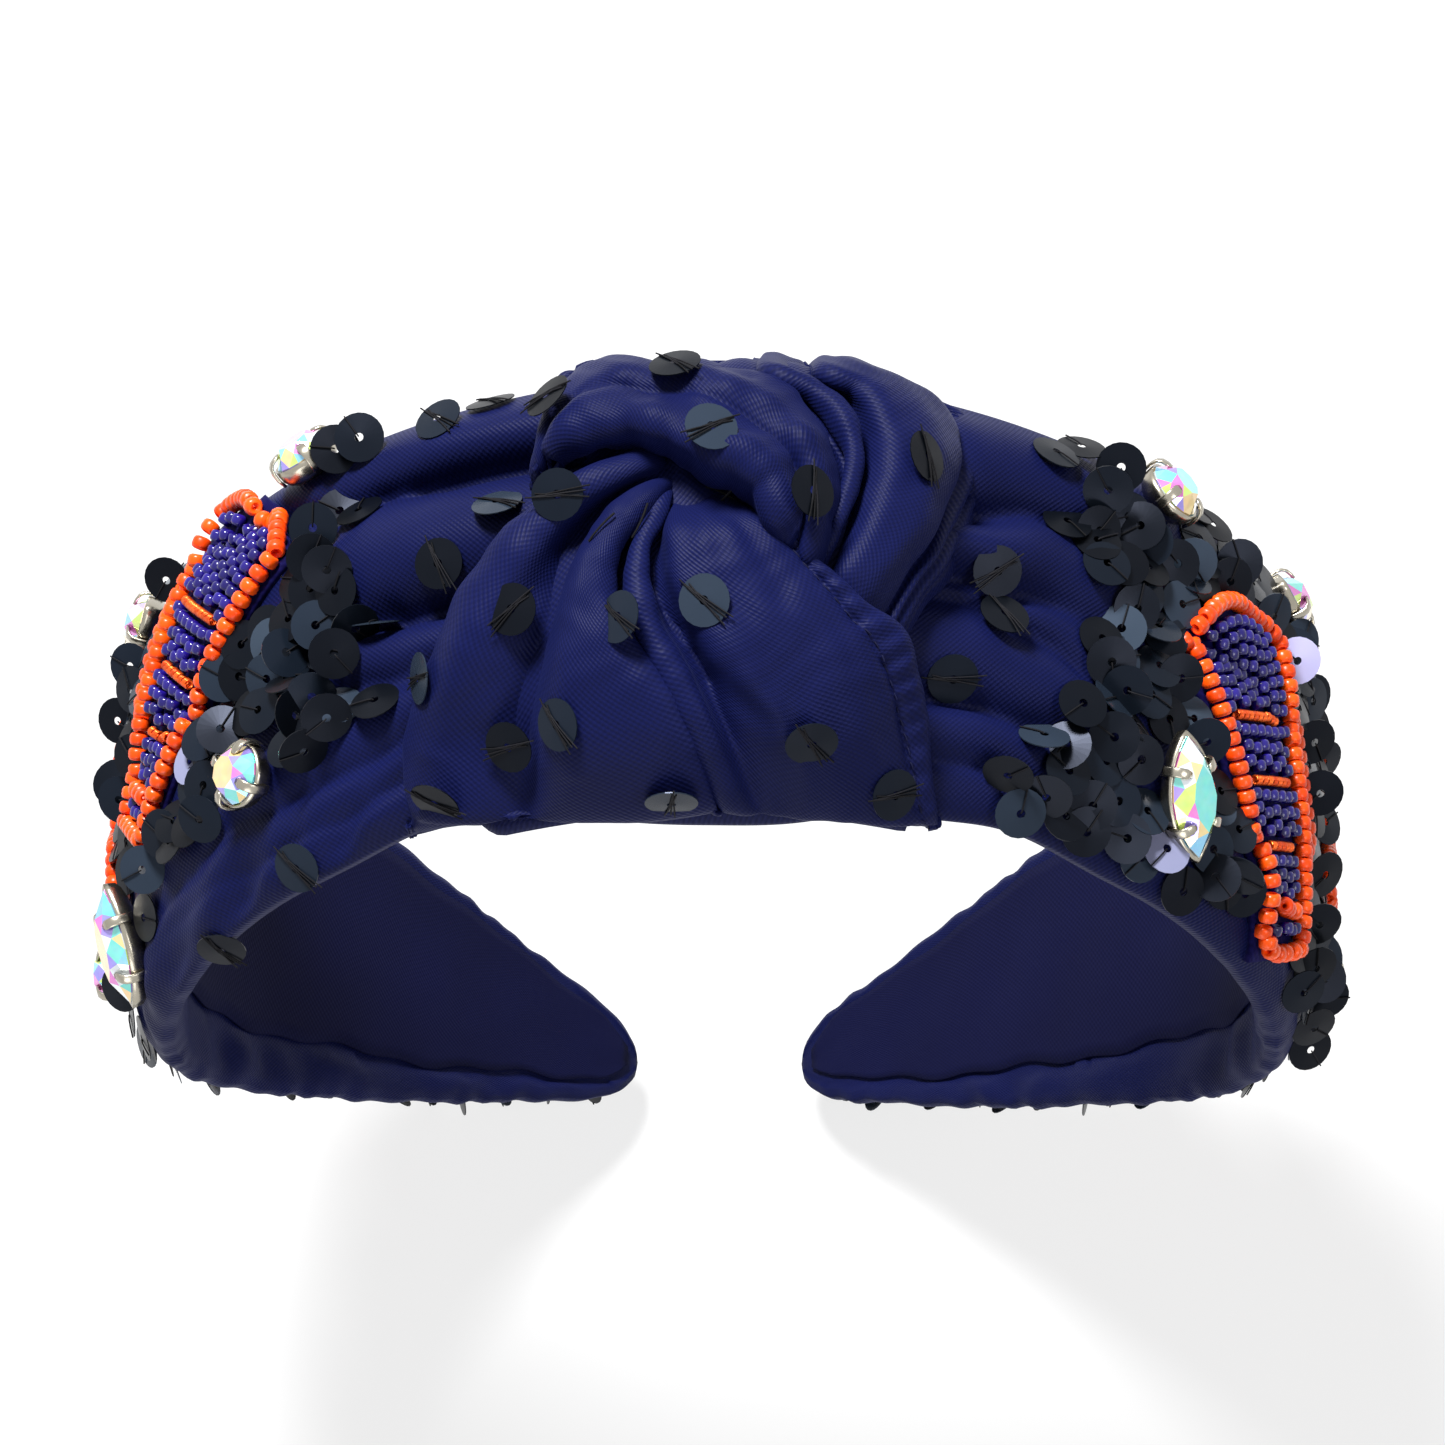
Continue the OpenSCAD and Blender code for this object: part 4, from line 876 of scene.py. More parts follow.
def grow(name, places, shape, sizes, finish, seed, slot_name, *nodes):
    """One mesh of a shape repeated at places: a node tree with named sizes, made plain."""
    tree = bpy.data.node_groups.new(f"{name} tree", "GeometryNodeTree")

    def socket(key, kind, way="INPUT"):
        return tree.interface.new_socket(key, in_out=way, socket_type=f"NodeSocket{kind}").identifier

    socket("Spots", "Geometry")
    ids = {key: socket(key, "Float") for key in sizes}
    ids["Seed"] = socket("Seed", "Int")
    ids["Finish"] = socket("Finish", "Material")
    socket("Grown", "Geometry", "OUTPUT")
    enter = add(tree, "NodeGroupInput")
    made = shape(tree, {key: enter.outputs[key] for key in sizes})
    turn = add(tree, "GeometryNodeInputNamedAttribute", {"Name": "turn"}, data_type="FLOAT_VECTOR")
    spin = add(tree, "FunctionNodeEulerToRotation", {0: turn.outputs[0]})
    ends = {"Points": enter.outputs["Spots"], "Instance": made.outputs[0], "Rotation": spin.outputs[0]}
    copies = add(tree, "GeometryNodeInstanceOnPoints", ends)
    # A random tone for each copy; on the sequins its highest values pick the painted glints
    chance = add(tree, "FunctionNodeRandomValue", {"Seed": enter.outputs["Seed"]}, data_type="FLOAT")
    ends = {"Geometry": copies.outputs[0], "Name": "tone", "Value": chance.outputs[1]}
    marked = add(tree, "GeometryNodeStoreNamedAttribute", ends, data_type="FLOAT", domain="INSTANCE")
    real = add(tree, "GeometryNodeRealizeInstances", {"Geometry": marked.outputs[0]})
    ends = {"Geometry": real.outputs[0], "Material": enter.outputs["Finish"]}
    dressed = add(tree, "GeometryNodeSetMaterial", ends)
    add(tree, "NodeGroupOutput", {0: dressed.outputs[0]})
    spots = spots_mesh(f"{name} spots", places)
    growth = spots.modifiers.new("growth", "NODES")
    growth.node_group = tree
    for key, value in sizes.items():
        growth[ids[key]] = value if key in ("Turns", "Section tilt") else value * MM
    growth[ids["Seed"]] = seed
    growth[ids["Finish"]] = finish
    graph = bpy.context.evaluated_depsgraph_get()
    mesh = bpy.data.meshes.new_from_object(spots.evaluated_get(graph), preserve_all_data_layers=True, depsgraph=graph)
    spots.modifiers.remove(growth)
    bpy.data.objects.remove(spots)
    mesh.name = name
    piece = bpy.data.objects.new(name, mesh)
    bpy.context.scene.collection.objects.link(piece)
    trim(piece, slot_name, *nodes)


SEQUIN_D, SEQUIN_HOLE, SEQUIN_T = 5.8, 1.0, 0.14
SEQUIN = {
    "Ring radius": (SEQUIN_D + SEQUIN_HOLE) / 4,
    "Section width": (SEQUIN_D - SEQUIN_HOLE) / 2,
    "Section height": SEQUIN_T,
    "Section tilt": math.radians(4),
}


def stitch(start, stop, low, high, radius):
    """Sizes of a stitch: its two ends, the heights of its ends and of what bows it, and its radius."""
    return {"From": start, "To": stop, "Low": low, "High": high, "Radius": radius}


def bead(across, along, hole):
    """Sizes of a seed bead, in millimetres."""
    return {
        "Ring radius": (across + hole) / 4,
        "Section width": (across - hole) / 2,
        "Section height": along,
        "Corner radius": 0.42 * along,
    }


# Beads of the outlines and of the fields between them: size, step along a line, and height of their middles
RIM_D, FIELD_D = 2.25, 1.8
RIM_BEAD, FIELD_BEAD = bead(RIM_D, 1.5, 0.5), bead(FIELD_D, 1.3, 0.4)
RIM_PITCH, FIELD_PITCH, ROW_PITCH, FIELD_STEP = 1.55, 1.36, 1.8, 0.12
FELT_T = 0.8
RIM_SEAT, FIELD_SEAT = FELT_T + RIM_D / 2, FELT_T + FIELD_D / 2 - 0.1
FIELD_CLEAR = (RIM_D + FIELD_D) / 2


# Bead patches, drawn flat and laid on the arm: place along, place across from the middle, turn in degrees
PATCH_AT = {
    ("megaphone", 1): (75, -22.5, 113),
    ("megaphone", -1): (79, -7.7, 130),
    ("hand", 1): (106, 8, 0),
    ("hand", -1): (106, 8, 0),
    ("pompom", 1): (137, 0, 0),
    ("pompom", -1): (137, 0, 0),
}


def laid(at, p):
    """Place along and across the arm of a point of a flat patch."""
    a = math.radians(at[2])
    return at[0] + p[0] * math.cos(a) - p[1] * math.sin(a), at[1] + p[0] * math.sin(a) + p[1] * math.cos(a)


def flat_of(at, q):
    """Point of a flat patch at a place along and across the arm."""
    a = math.radians(-at[2])
    x, y = q[0] - at[0], q[1] - at[1]
    return x * math.cos(a) - y * math.sin(a), x * math.sin(a) + y * math.cos(a)


def along_line(points, pitch, closed=False):
    """Even places along a line of points, each with its heading in degrees."""
    p = np.asarray(points + [points[0]] if closed else points, float)
    run = lengths(p)
    step = np.diff(run)
    n = max(int(run[-1] / pitch + 0.001), 1)
    out = []
    for s in (np.arange(n) + 0.5) * run[-1] / n:
        i = min(int(np.searchsorted(run, s, "right")) - 1, len(step) - 1)
        d = (p[i + 1] - p[i]) / step[i]
        out.append((p[i] + d * (s - run[i]), math.degrees(math.atan2(d[1], d[0]))))
    return out


def seg_dist(p, a, b):
    p, a, b = (np.asarray(v, float) for v in (p, a, b))
    d = b - a
    t = np.clip(np.dot(p - a, d) / np.dot(d, d), 0, 1)
    return float(np.linalg.norm(p - a - t * d))


def rim_dist(p, outline):
    return min(seg_dist(p, a, b) for a, b in zip(outline, outline[1:] + outline[:1]))


def inside(p, outline):
    hits = 0
    for a, b in zip(outline, outline[1:] + outline[:1]):
        if (a[1] > p[1]) != (b[1] > p[1]) and p[0] < a[0] + (b[0] - a[0]) * (p[1] - a[1]) / (b[1] - a[1]):
            hits += 1
    return hits % 2 == 1


def lay(side, at, p, heading, lift, axis="X"):
    """Place and turn of a small piece on the arm, its X (or Z) along a flat heading."""
    u, b = laid(at, p)
    point, normal, along, across = on_cloth(side, u, b)
    a = math.radians(at[2] + heading)
    way = math.cos(a) * along + math.sin(a) * across
    turn = turn_to(normal, way)
    if axis == "Z":
        turn = turn @ Matrix.Rotation(math.pi / 2, 3, "Y")
    return point + lift * normal, turn


HORN_L, HORN_MOUTH, HORN_BELL, BELL_BULGE = 34.0, 4.3, 10.4, 3.4
BELL_R = (HORN_BELL**2 + BELL_BULGE**2) / 2 / BELL_BULGE
BELL_TURN = math.asin(HORN_BELL / BELL_R)
HORN = [(0, HORN_MOUTH), (0, -HORN_MOUTH)] + [
    (HORN_L + BELL_BULGE - BELL_R + BELL_R * math.cos(a), BELL_R * math.sin(a))
    for a in np.linspace(-BELL_TURN, BELL_TURN, 17)
]


def horn_half(x):
    return HORN_MOUTH + (HORN_BELL - HORN_MOUTH) * x / HORN_L


MOUTH_LINE = 4.2
HANDLE = [(26, -horn_half(26) - 1.9), (25, -horn_half(25) - 4.1), (12.5, -horn_half(12.5) - 4.8),
          (9.5, -horn_half(9.5) - 1.9)]
STRIPES = [((x, 3.4 - horn_half(x)), (x, horn_half(x) - 3.4)) for x in (11, 18, 25)]
HAND = [(-15, -17), (-1, -14.5), (9, -11), (14, -4), (13, 4.5), (9.5, 9), (0.5, 6.5), (-9.5, 6.5), (-9.5, -8),
        (-14, -11.5)]
FINGERS = [((-8.2, 1.8), (0, 1.8)), ((-8.2, -3.2), (0, -3.2))]
CUFF = [((4.5, -7), (6, 3.5)), ((8, -6), (9, 3))]


def bead_line(side, at, points, lift, closed=False):
    return [lay(side, at, p, a, lift, "Z") for p, a in along_line(points, RIM_PITCH, closed)]


def bead_field(side, at, outline, bars, clear):
    """Rows of beads that fill an outline, each row spread between what bounds it."""

    def free(x, y):
        if not inside((x, y), outline) or rim_dist((x, y), outline) < clear:
            return False
        return all(seg_dist((x, y), a, b) > gap for a, b, gap in bars)

    xs, ys = zip(*outline)
    low, high = min(ys) + clear, max(ys) - clear
    out = []
    for row, y in enumerate(np.linspace(low, high, int((high - low) / ROW_PITCH) + 1)):
        runs = []
        for x in np.arange(min(xs), max(xs), FIELD_STEP):
            if not free(x, y):
                continue
            if runs and x - runs[-1][1] < 1.5 * FIELD_STEP:
                runs[-1][1] = x
            else:
                runs.append([x, x])
        for first, last in runs:
            first += row % 2 * min(FIELD_PITCH / 2, (last - first) / 2)
            for x in np.linspace(first, last, int((last - first) / FIELD_PITCH) + 1):
                out.append(lay(side, at, (x, y), 0, FIELD_SEAT, "Z"))
    return out


def wire_places(side, at, bars):
    return [lay(side, at, p, a, PURL_SEAT, "Z") for bar in bars for p, a in along_line(list(bar), PURL_PITCH)]


def felt_plate(name, side, at, outline, grow_by):
    """Felt cut a little larger than its patch, following the arm."""
    xs = [p[0] for p in outline]
    rows = []
    for x in np.linspace(min(xs) - grow_by, max(xs) + grow_by, 33):
        k = min(max(x, min(xs) + 0.05), max(xs) - 0.05)
        hits = [
            a[1] + (b[1] - a[1]) * (k - a[0]) / (b[0] - a[0])
            for a, b in zip(outline, outline[1:] + outline[:1])
            if (a[0] > k) != (b[0] > k)
        ]
        row = []
        for y in np.linspace(min(hits) - grow_by, max(hits) + grow_by, 15):
            point, normal, _, _ = on_cloth(side, *laid(at, (x, y)))
            row.append(point + FELT_T * normal)
        rows.append(row)
    grid = np.array(rows)
    return cloth_sheet(name, grid, felt_cloth, FELT_T, lambda g: g * np.array([1, 0.2, 1]))


PURL_SEAT, PURL_PITCH = FELT_T + 0.95, 1.1
PURL = {"Turns": 3.5, "Coil radius": 0.5, "Length": 1.15, "Wire radius": 0.16}
STRANDS, STRAND_IN, STRAND_OUT, STRAND_CURL = 9, 2.2, 11.5, 4.2


def strand(phase, reach):
    """Points of a curled strand of a pom-pom, from its middle outwards."""
    out = []
    for r in np.arange(STRAND_IN, STRAND_OUT, 0.6):
        a = phase + math.radians(STRAND_CURL) * r
        out.append((r * reach * math.cos(a), r * reach * math.sin(a)))
    return out


# Each felt patch: outline, bead lines inside it, wire bars, their slot and finish, room that the field leaves at bars
# and lines, flat size and area of the felt, and seeds of the beads' and wire's tones
MOUTH_END = horn_half(MOUTH_LINE) - RIM_D
PATCHES = {
    "megaphone": (
        HORN, [((MOUTH_LINE, MOUTH_END), (MOUTH_LINE, -MOUTH_END))], STRIPES, "copper_wire", copper_purl,
        [(a, b, 1.5) for a, b in STRIPES] + [((MOUTH_LINE, -HORN_BELL), (MOUTH_LINE, HORN_BELL), 1.7)],
        (0.024, 0.040), 0.0007, (3, 5, 7),
    ),
    "hand": (
        HAND, FINGERS, CUFF, "silver_wire", silver_purl,
        [(a, b, 1.6) for a, b in CUFF] + [(a, b, FIELD_CLEAR - 0.1) for a, b in FINGERS],
        (0.029, 0.031), 0.00062, (11, 13, 17),
    ),
}
for word, side in SIDES.items():
    for patch, (outline, inner, wires, wire_slot, wire, bars, flat, area, seeds) in PATCHES.items():
        at = PATCH_AT[patch, side]
        plate = felt_plate(f"{patch}_felt_sheet_{word}", side, at, outline, RIM_D / 2)
        trim(plate, "felt_backing", f"{patch}_felt_{word}")
        lines = bead_line(side, at, outline, RIM_SEAT, True)
        for line in inner:
            lines += bead_line(side, at, list(line), RIM_SEAT)
        if patch == "megaphone":
            lines += bead_line(side, at, HANDLE, RIM_D / 2)
        grow(f"{patch}_rim_beads_{word}", lines, bead_shape, RIM_BEAD, orange_glass, seeds[0],
             "orange_beads", f"{patch}_outline_{word}")
        rows = bead_field(side, at, outline, bars, FIELD_CLEAR - 0.2)
        grow(f"{patch}_field_beads_{word}", rows, bead_shape, FIELD_BEAD, navy_glass, seeds[1],
             "navy_beads", f"{patch}_field_{word}")
        coils = wire_places(side, at, wires)
        grow(f"{patch}_purl_{word}", coils, coil_shape, PURL, wire, seeds[2], wire_slot, f"{patch}_wire_{word}")

    at = PATCH_AT["pompom", side]
    for colour, glass, phase, reach, lift in (
        ("orange", orange_glass, 0.0, 1.0, 1.9),
        ("navy", navy_glass, 0.36, 1.04, 1.0),
    ):
        lines = []
        for k in range(STRANDS):
            lines += bead_line(side, at, strand(2 * math.pi * k / STRANDS + phase, reach), lift)
        grow(f"pompom_{colour}_beads_{word}", lines, bead_shape, RIM_BEAD, glass, 19,
             f"{colour}_beads", f"pompom_{colour}_{word}")

# Stones: place along, place across, turn in degrees
ROUNDS = {
    1: [(51, 21, 0), (100.5, -15.5, 20), (127.7, 20.5, 0), (149, 16, 0)],
    -1: [(47.9, 23.1, 0), (53, -13, 0), (100.5, -15.5, 20), (127.7, 20.5, 0), (149, 16, 0)],
}
NAVETTES = {
    1: [(84, 24.5, 12), (51, -15, -58), (117.4, -10.2, 45)],
    -1: [(88, 23, 12), (85.5, -18, -60), (117.4, -10.2, 45)],
}
STONE_D, NAVETTE_L, NAVETTE_W = 7.0, 14.0, 6.4
SETTING_H, SETTING_T, GIRDLE_H, CROWN_H = 2.6, 0.45, 0.4, 1.9
STONE_STEPS, CUP_STEPS, STONE_LIFT = 8, 32, 0.15
# Profile of the cup, as share of the stone's outline and height, path of a prong from the outline outwards, and its
# width and thickness
CUP = [(0.80, 0.0), (0.97, 0.5), (1.07, 1.1), (1.10, 2.0), (1.10, SETTING_H), (1.02, SETTING_H), (1.01, 1.9),
       (0.9, 0.9), (0.75, SETTING_T)]
PRONG = [(0.35, 0.7), (0.62, 1.6), (0.66, 2.6), (0.5, 3.3), (0.1, 3.75), (-0.55, 4.0), (-1.15, 4.1)]
PRONG_W, PRONG_T = 1.15, 0.4
IRIDESCENT = [linear(c) for c in ("#7fe3dc", "#d2ee7e", "#e884d4", "#a898f0", "#eef6fb", "#8ccdf2", "#f6d79c")]


def round_rim(k, n):
    a = 2 * math.pi * k / n
    return np.array([math.cos(a), math.sin(a)]) * STONE_D / 2


def navette_rim(k, n):
    """Point of a pointed oval, even steps round it from one point."""
    r = (NAVETTE_L**2 + NAVETTE_W**2) / (4 * NAVETTE_W)
    t = 4 * k / n % 4
    half = math.asin(NAVETTE_L / 2 / r)
    a = half * (1 - (t % 2))
    x, y = r * math.sin(a), r * math.cos(a) - (r - NAVETTE_W / 2)
    return np.array([x, y]) if t < 2 else np.array([-x, -y])


def cut_stone(rim, n):
    """Points and faces of a faceted stone: table, star and kite facets, girdle and pavilion."""
    h = SETTING_H + 0.1
    girdle = [np.append(rim(k, 2 * n), h) for k in range(2 * n)]
    waist = [np.append(rim(k, 2 * n), h - GIRDLE_H) for k in range(2 * n)]
    middle = [np.append(rim(2 * k + 1, 2 * n) * 0.8, h + CROWN_H * 0.58) for k in range(n)]
    table = [np.append(rim(2 * k, 2 * n) * 0.56, h + CROWN_H) for k in range(n)]
    low = np.array([0, 0, 0.5])
    points = girdle + waist + middle + table + [low]
    g, w, m, t, tip = 0, 2 * n, 4 * n, 5 * n, 6 * n
    faces = [list(range(t, t + n))]
    for k in range(n):
        j = (k + 1) % n
        before = (k - 1) % n
        faces += [
            [t + k, m + k, t + j],
            [t + k, m + before, g + 2 * k, m + k],
            [m + k, g + 2 * k, g + 2 * k + 1],
            [m + k, g + 2 * k + 1, g + (2 * k + 2) % (2 * n)],
        ]
    for k in range(2 * n):
        j = (k + 1) % (2 * n)
        faces += [[g + k, w + k, w + j, g + j], [w + k, tip, w + j]]
    for i, f in enumerate(faces):
        p = [points[q] for q in f]
        facing = np.cross(p[1] - p[0], p[2] - p[0])
        if np.dot(facing, np.mean(p, 0) - np.array([0, 0, h - 0.5])) < 0:
            faces[i] = f[::-1]
    return points, faces


def ribbon(path, wide, thick):
    """Points and faces of a flat strip along a path in the XZ plane, its tip narrowed."""
    path = np.asarray(path, float)
    points, faces = [], []
    for i, (x, z) in enumerate(path):
        a, b = path[max(i - 1, 0)], path[min(i + 1, len(path) - 1)]
        d = (b - a) / np.linalg.norm(b - a)
        nx, nz = d[1], -d[0]
        w = wide * (0.62 if i == len(path) - 1 else 1)
        for sy, st in ((-1, -0.6), (-0.7, -1), (0.7, -1), (1, -0.6), (1, 0.6), (0.7, 1), (-0.7, 1), (-1, 0.6)):
            points.append((x + nx * st * thick / 2, sy * w / 2, z + nz * st * thick / 2))
    n = 8
    for i in range(len(path) - 1):
        for j in range(n):
            faces.append([i * n + j, i * n + (j + 1) % n, (i + 1) * n + (j + 1) % n, (i + 1) * n + j])
    faces.append(list(range(n))[::-1])
    faces.append([(len(path) - 1) * n + j for j in range(n)])
    return points, faces


def cup_setting(rim, n, prong_at):
    """Points and faces of a pressed cup with four prongs bent over the stone's edge."""
    points, faces = [], []
    for share, z in CUP:
        points += [np.append(rim(k, n) * share, z) for k in range(n)]
    faces += grid_faces(len(CUP), n, ring=True).tolist()
    faces += [list(range(n))[::-1], list(range((len(CUP) - 1) * n, len(CUP) * n))]
    for k in prong_at:
        edge = rim(k, n)
        out = rim(k + 0.01, n) - rim(k - 0.01, n)
        out = np.array([out[1], -out[0]]) / np.linalg.norm(out)
        strip, strip_faces = ribbon(PRONG, PRONG_W, PRONG_T)
        base = len(points)
        side_way = np.array([-out[1], out[0]])
        for x, y, z in strip:
            q = edge + out * x + side_way * y
            points.append(np.array([q[0], q[1], z]))
        faces += [[base + i for i in f] for f in strip_faces]
    return points, faces


def set_pieces(name, side, spots, made, finish, facets):
    """One piece of many placed copies of a made shape: flat facets in their own colours, or smooth."""
    all_points, all_faces, colours = [], [], []
    points, faces = made
    for number, (u, b, spin) in enumerate(spots):
        point, turn = lay(side, (u, b, 0), (0, 0), spin, STONE_LIFT)
        rot = np.array(turn)
        base = len(all_points)
        all_points += [point + rot @ np.asarray(p) for p in points]
        all_faces += [[base + i for i in f] for f in faces]
        pick = np.random.default_rng(100 * number + 7 * side + 50)
        colours += [IRIDESCENT[pick.integers(len(IRIDESCENT))] for _ in faces]
    piece = make_piece(name, all_points, all_faces, finish, None, not facets)
    if facets:
        facet = piece.data.color_attributes.new("facet", "FLOAT_COLOR", "CORNER")
        for poly, colour in zip(piece.data.polygons, colours):
            for i in poly.loop_indices:
                facet.data[i].color = colour
    return piece


# Kinds of stone: their spots, outline and the steps round it that have prongs
CUTS = {
    "round": (ROUNDS, round_rim, (4, 12, 20, 28)),
    "navette": (NAVETTES, navette_rim, (4.5, 11.5, 20.5, 27.5)),
}
for word, side in SIDES.items():
    for cut, (spots, rim, prongs) in CUTS.items():
        stone = cut_stone(rim, STONE_STEPS)
        stones = set_pieces(f"{cut}_crystals_{word}", side, spots[side], stone, crystal, True)
        trim(stones, "crystal", f"{cut}_stones_{word}")
    for cut, (spots, rim, prongs) in CUTS.items():
        cup = cup_setting(rim, CUP_STEPS, prongs)
        cups = set_pieces(f"{cut}_claws_{word}", side, spots[side], cup, plate_metal, False)
        trim(cups, "setting_metal", f"{cut}_settings_{word}")


# Sequins, and the room that their centres leave beside the trims
PATCH_ROOM, HANDLE_ROOM, POMPOM_ROOM, STONE_ROOM = 2.6, 2.4, 1.2, 1.6
NAVETTE_ROOM = (1.4, 1.8)
HORN_CORNERS = HORN[:3] + [HORN[10], HORN[-1]]


def free_of_trim(side, u, b):
    """Whether there is room for a sequin's centre beside the patches and stones."""
    q = flat_of(PATCH_AT["megaphone", side], (u, b))
    if inside(q, HORN_CORNERS) or rim_dist(q, HORN_CORNERS) < PATCH_ROOM:
        return False
    if min(seg_dist(q, start, stop) for start, stop in zip(HANDLE, HANDLE[1:])) < HANDLE_ROOM:
        return False
    q = flat_of(PATCH_AT["hand", side], (u, b))
    if inside(q, HAND) or rim_dist(q, HAND) < PATCH_ROOM:
        return False
    p = PATCH_AT["pompom", side]
    if math.hypot(u - p[0], b - p[1]) < STRAND_OUT + POMPOM_ROOM:
        return False
    if any(math.hypot(u - s[0], b - s[1]) < STONE_D / 2 + STONE_ROOM for s in ROUNDS[side]):
        return False
    for s in NAVETTES[side]:
        x, y = flat_of(s, (u, b))
        if math.hypot(x / (NAVETTE_L / 2 + NAVETTE_ROOM[0]), y / (NAVETTE_W / 2 + NAVETTE_ROOM[1])) < 1:
            return False
    return True


# Where the sequins start along each arm, by place across
SEQUIN_START = {
    -1: ((-1, -0.72, -0.55, -0.3, 0, 0.5, 1), (105, 88, 40, 35, 39, 42, 38)),
    1: ((-1, -0.6, -0.25, 0.1, 0.5, 1), (27, 30, 40, 41, 37, 34)),
}
# First row, steps between rows and in them, how much closer they come at the tip, and where a plain edge starts
FIRST_ROW, ROW_STEP, ROW_CLOSER, SEW_STEP, SEW_CLOSER, PLAIN_EDGE = 26.0, 3.5, 0.8, 3.8, 0.9, 60


def sewn_rows(side):
    """Places of the overlapping sequins of one arm: crowded rows, each sequin leaning on the next."""
    out = []
    u, row = FIRST_ROW, 0
    while u < HALF_LEN + 0.5:
        tip = np.clip((u - 150) / 40, 0, 1)
        pitch = SEW_STEP - SEW_CLOSER * tip
        w = half_w(u)
        for b in np.arange(-w + (3.3 if u > PLAIN_EDGE else 2.4), w + 0.6, pitch):
            jig = dice.normal(0, 0.7, 2)
            lean, way, spare = dice.uniform(0, 1, 3)
            uu, bb = u + jig[0], b + jig[1] + (row % 2) * pitch / 2
            ragged = np.interp(bb / w, *SEQUIN_START[side]) + 2 * math.sin(bb * 0.8)
            if uu > HALF_LEN + 0.8 or abs(bb) > w - 1.8 or uu < ragged:
                continue
            if uu > PLAIN_EDGE and bb < 2.5 - w or not free_of_trim(side, uu, bb):
                continue
            steep = way > 0.68 - 0.1 * tip and abs(bb) < w - 3
            tilt = math.radians(32 + 34 * lean if steep else 6 + 18 * lean)
            heading = math.radians(25 if row % 3 else -20) + 1.4 * (way - 0.5)
            point, normal, along, across = on_cloth(side, min(uu, HALF_LEN - 0.5), np.clip(bb, -w, w))
            # Lifted where the cloth beside it stands higher
            bridge = 0.0
            for du, db in ((2, 0), (-2, 0), (0, 2), (0, -2)):
                next_to = on_cloth(side, min(uu + du, HALF_LEN - 0.5), np.clip(bb + db, -w, w))[0]
                bridge = max(bridge, float(np.dot(next_to - point, normal)))
            lie = turn_to(normal, math.cos(heading) * along + math.sin(heading) * across)
            lie = lie @ Matrix.Rotation(-tilt, 3, "Y")
            bridge = 0.7 * min(bridge, 1.5) if abs(bb) < w - 3 else 0.0
            lift = 0.25 + 0.5 * spare + 0.38 * SEQUIN_D * math.sin(tilt) + bridge
            out.append((point + normal * lift, lie))
        u += ROW_STEP - ROW_CLOSER * tip
        row += 1
    return out


# Threads from hole to rim, and the lift that keeps them on their sequin
THREAD = stitch(0.1, 3.0, 0.0, 0.35, 0.1)
THREAD_LIFT = 0.12
for word, side in SIDES.items():
    places = sewn_rows(side)
    grow(f"arm_sequins_{word}", places, disc_shape, SEQUIN, sequin_film, 23, "sequin_film", f"sequins_{word}")
    sewn = [
        (p + np.array(m.col[2]) * THREAD_LIFT, m @ Matrix.Rotation(math.radians(40 * (i % 9)), 3, "Z"))
        for i, (p, m) in enumerate(places)
    ]
    grow(f"arm_sequin_threads_{word}", sewn, bar_shape, THREAD, black_thread, 29, "sequin_film")

# Camera: the viewing angle of the picture that faces the knot from above
AIM = Vector((0, 0, 22)) * MM
RISE, ROLL = math.radians(69.9), math.radians(0.485)
FAR = 550 * MM
FRAME_PX, FOCAL_PX, SENSOR_MM = 1445, 4556, 36.0
look = Vector((0, -math.cos(RISE), math.sin(RISE)))
lens = bpy.data.cameras.new("camera")
lens.sensor_width = SENSOR_MM
lens.lens = SENSOR_MM * FOCAL_PX / FRAME_PX
lens.clip_start = 0.01
camera = bpy.data.objects.new("camera", lens)
camera.location = AIM + look * FAR
camera.rotation_euler = (look.to_track_quat("Z", "Y").to_matrix() @ Matrix.Rotation(ROLL, 3, "Z")).to_euler()
bpy.context.scene.collection.objects.link(camera)
bpy.context.scene.camera = camera
VIEW_RIGHT, VIEW_UP = Vector((1, 0, 0)), look.cross(Vector((1, 0, 0)))


def sighted(tree, right, up):
    """Cloth point and normal seen at millimetres right and up of the aim."""
    goal = AIM + (VIEW_RIGHT * right + VIEW_UP * up) * MM
    return tree.ray_cast(camera.location, (goal - camera.location).normalized())[:2]


def cloth_tree():
    """Every cloth face that a loose sequin can be sewn on."""
    points, faces = [], []
    for piece in list(arms.values()) + list(knot.values()):
        base = len(points)
        points += [v.co for v in piece.data.vertices]
        faces += [[base + i for i in poly.vertices] for poly in piece.data.polygons]
    return BVHTree.FromPolygons(points, faces)


# Loose sequins sewn singly: millimetres right and up of the aim, as the camera sees them
LOOSE = [
    (-5.8, 42.8), (-20.3, 38.0), (-28.2, 38.0), (-34.2, 35.8), (-1.6, 35.4), (24.1, 32.2), (9.9, 27.0), (-20.1, 27.3),
    (-27.2, 25.9), (-34.2, 19.1), (-25.7, 13.5), (-2.2, 14.7), (-12.8, 12.3), (-24.4, -2.6), (-19.7, -0.4),
    (10.7, -2.2), (20.7, -8.5), (-34.2, -9.7), (-6.1, -9.3), (32.8, 18.9), (32.8, 12.3), (27.7, 5.6), (-36.0, 5.0),
    (-51.1, -17.9), (-60.2, -27.6),
]
# How some of them lean, to the right and up of the view
LEAN = {
    0: (0, 0.9), 1: (-0.5, 0.4), 2: (0, 0.5), 4: (0.3, 0), 5: (0.5, 0), 6: (0.6, 0), 8: (0, 0.8), 9: (0, 0.4),
    10: (-0.6, 0), 12: (-0.9, 0), 15: (0, -0.4), 17: (0, -0.7), 18: (0, -1.0), 19: (0, 0.4), 20: (0, 0.4),
    22: (-0.5, 0),
}
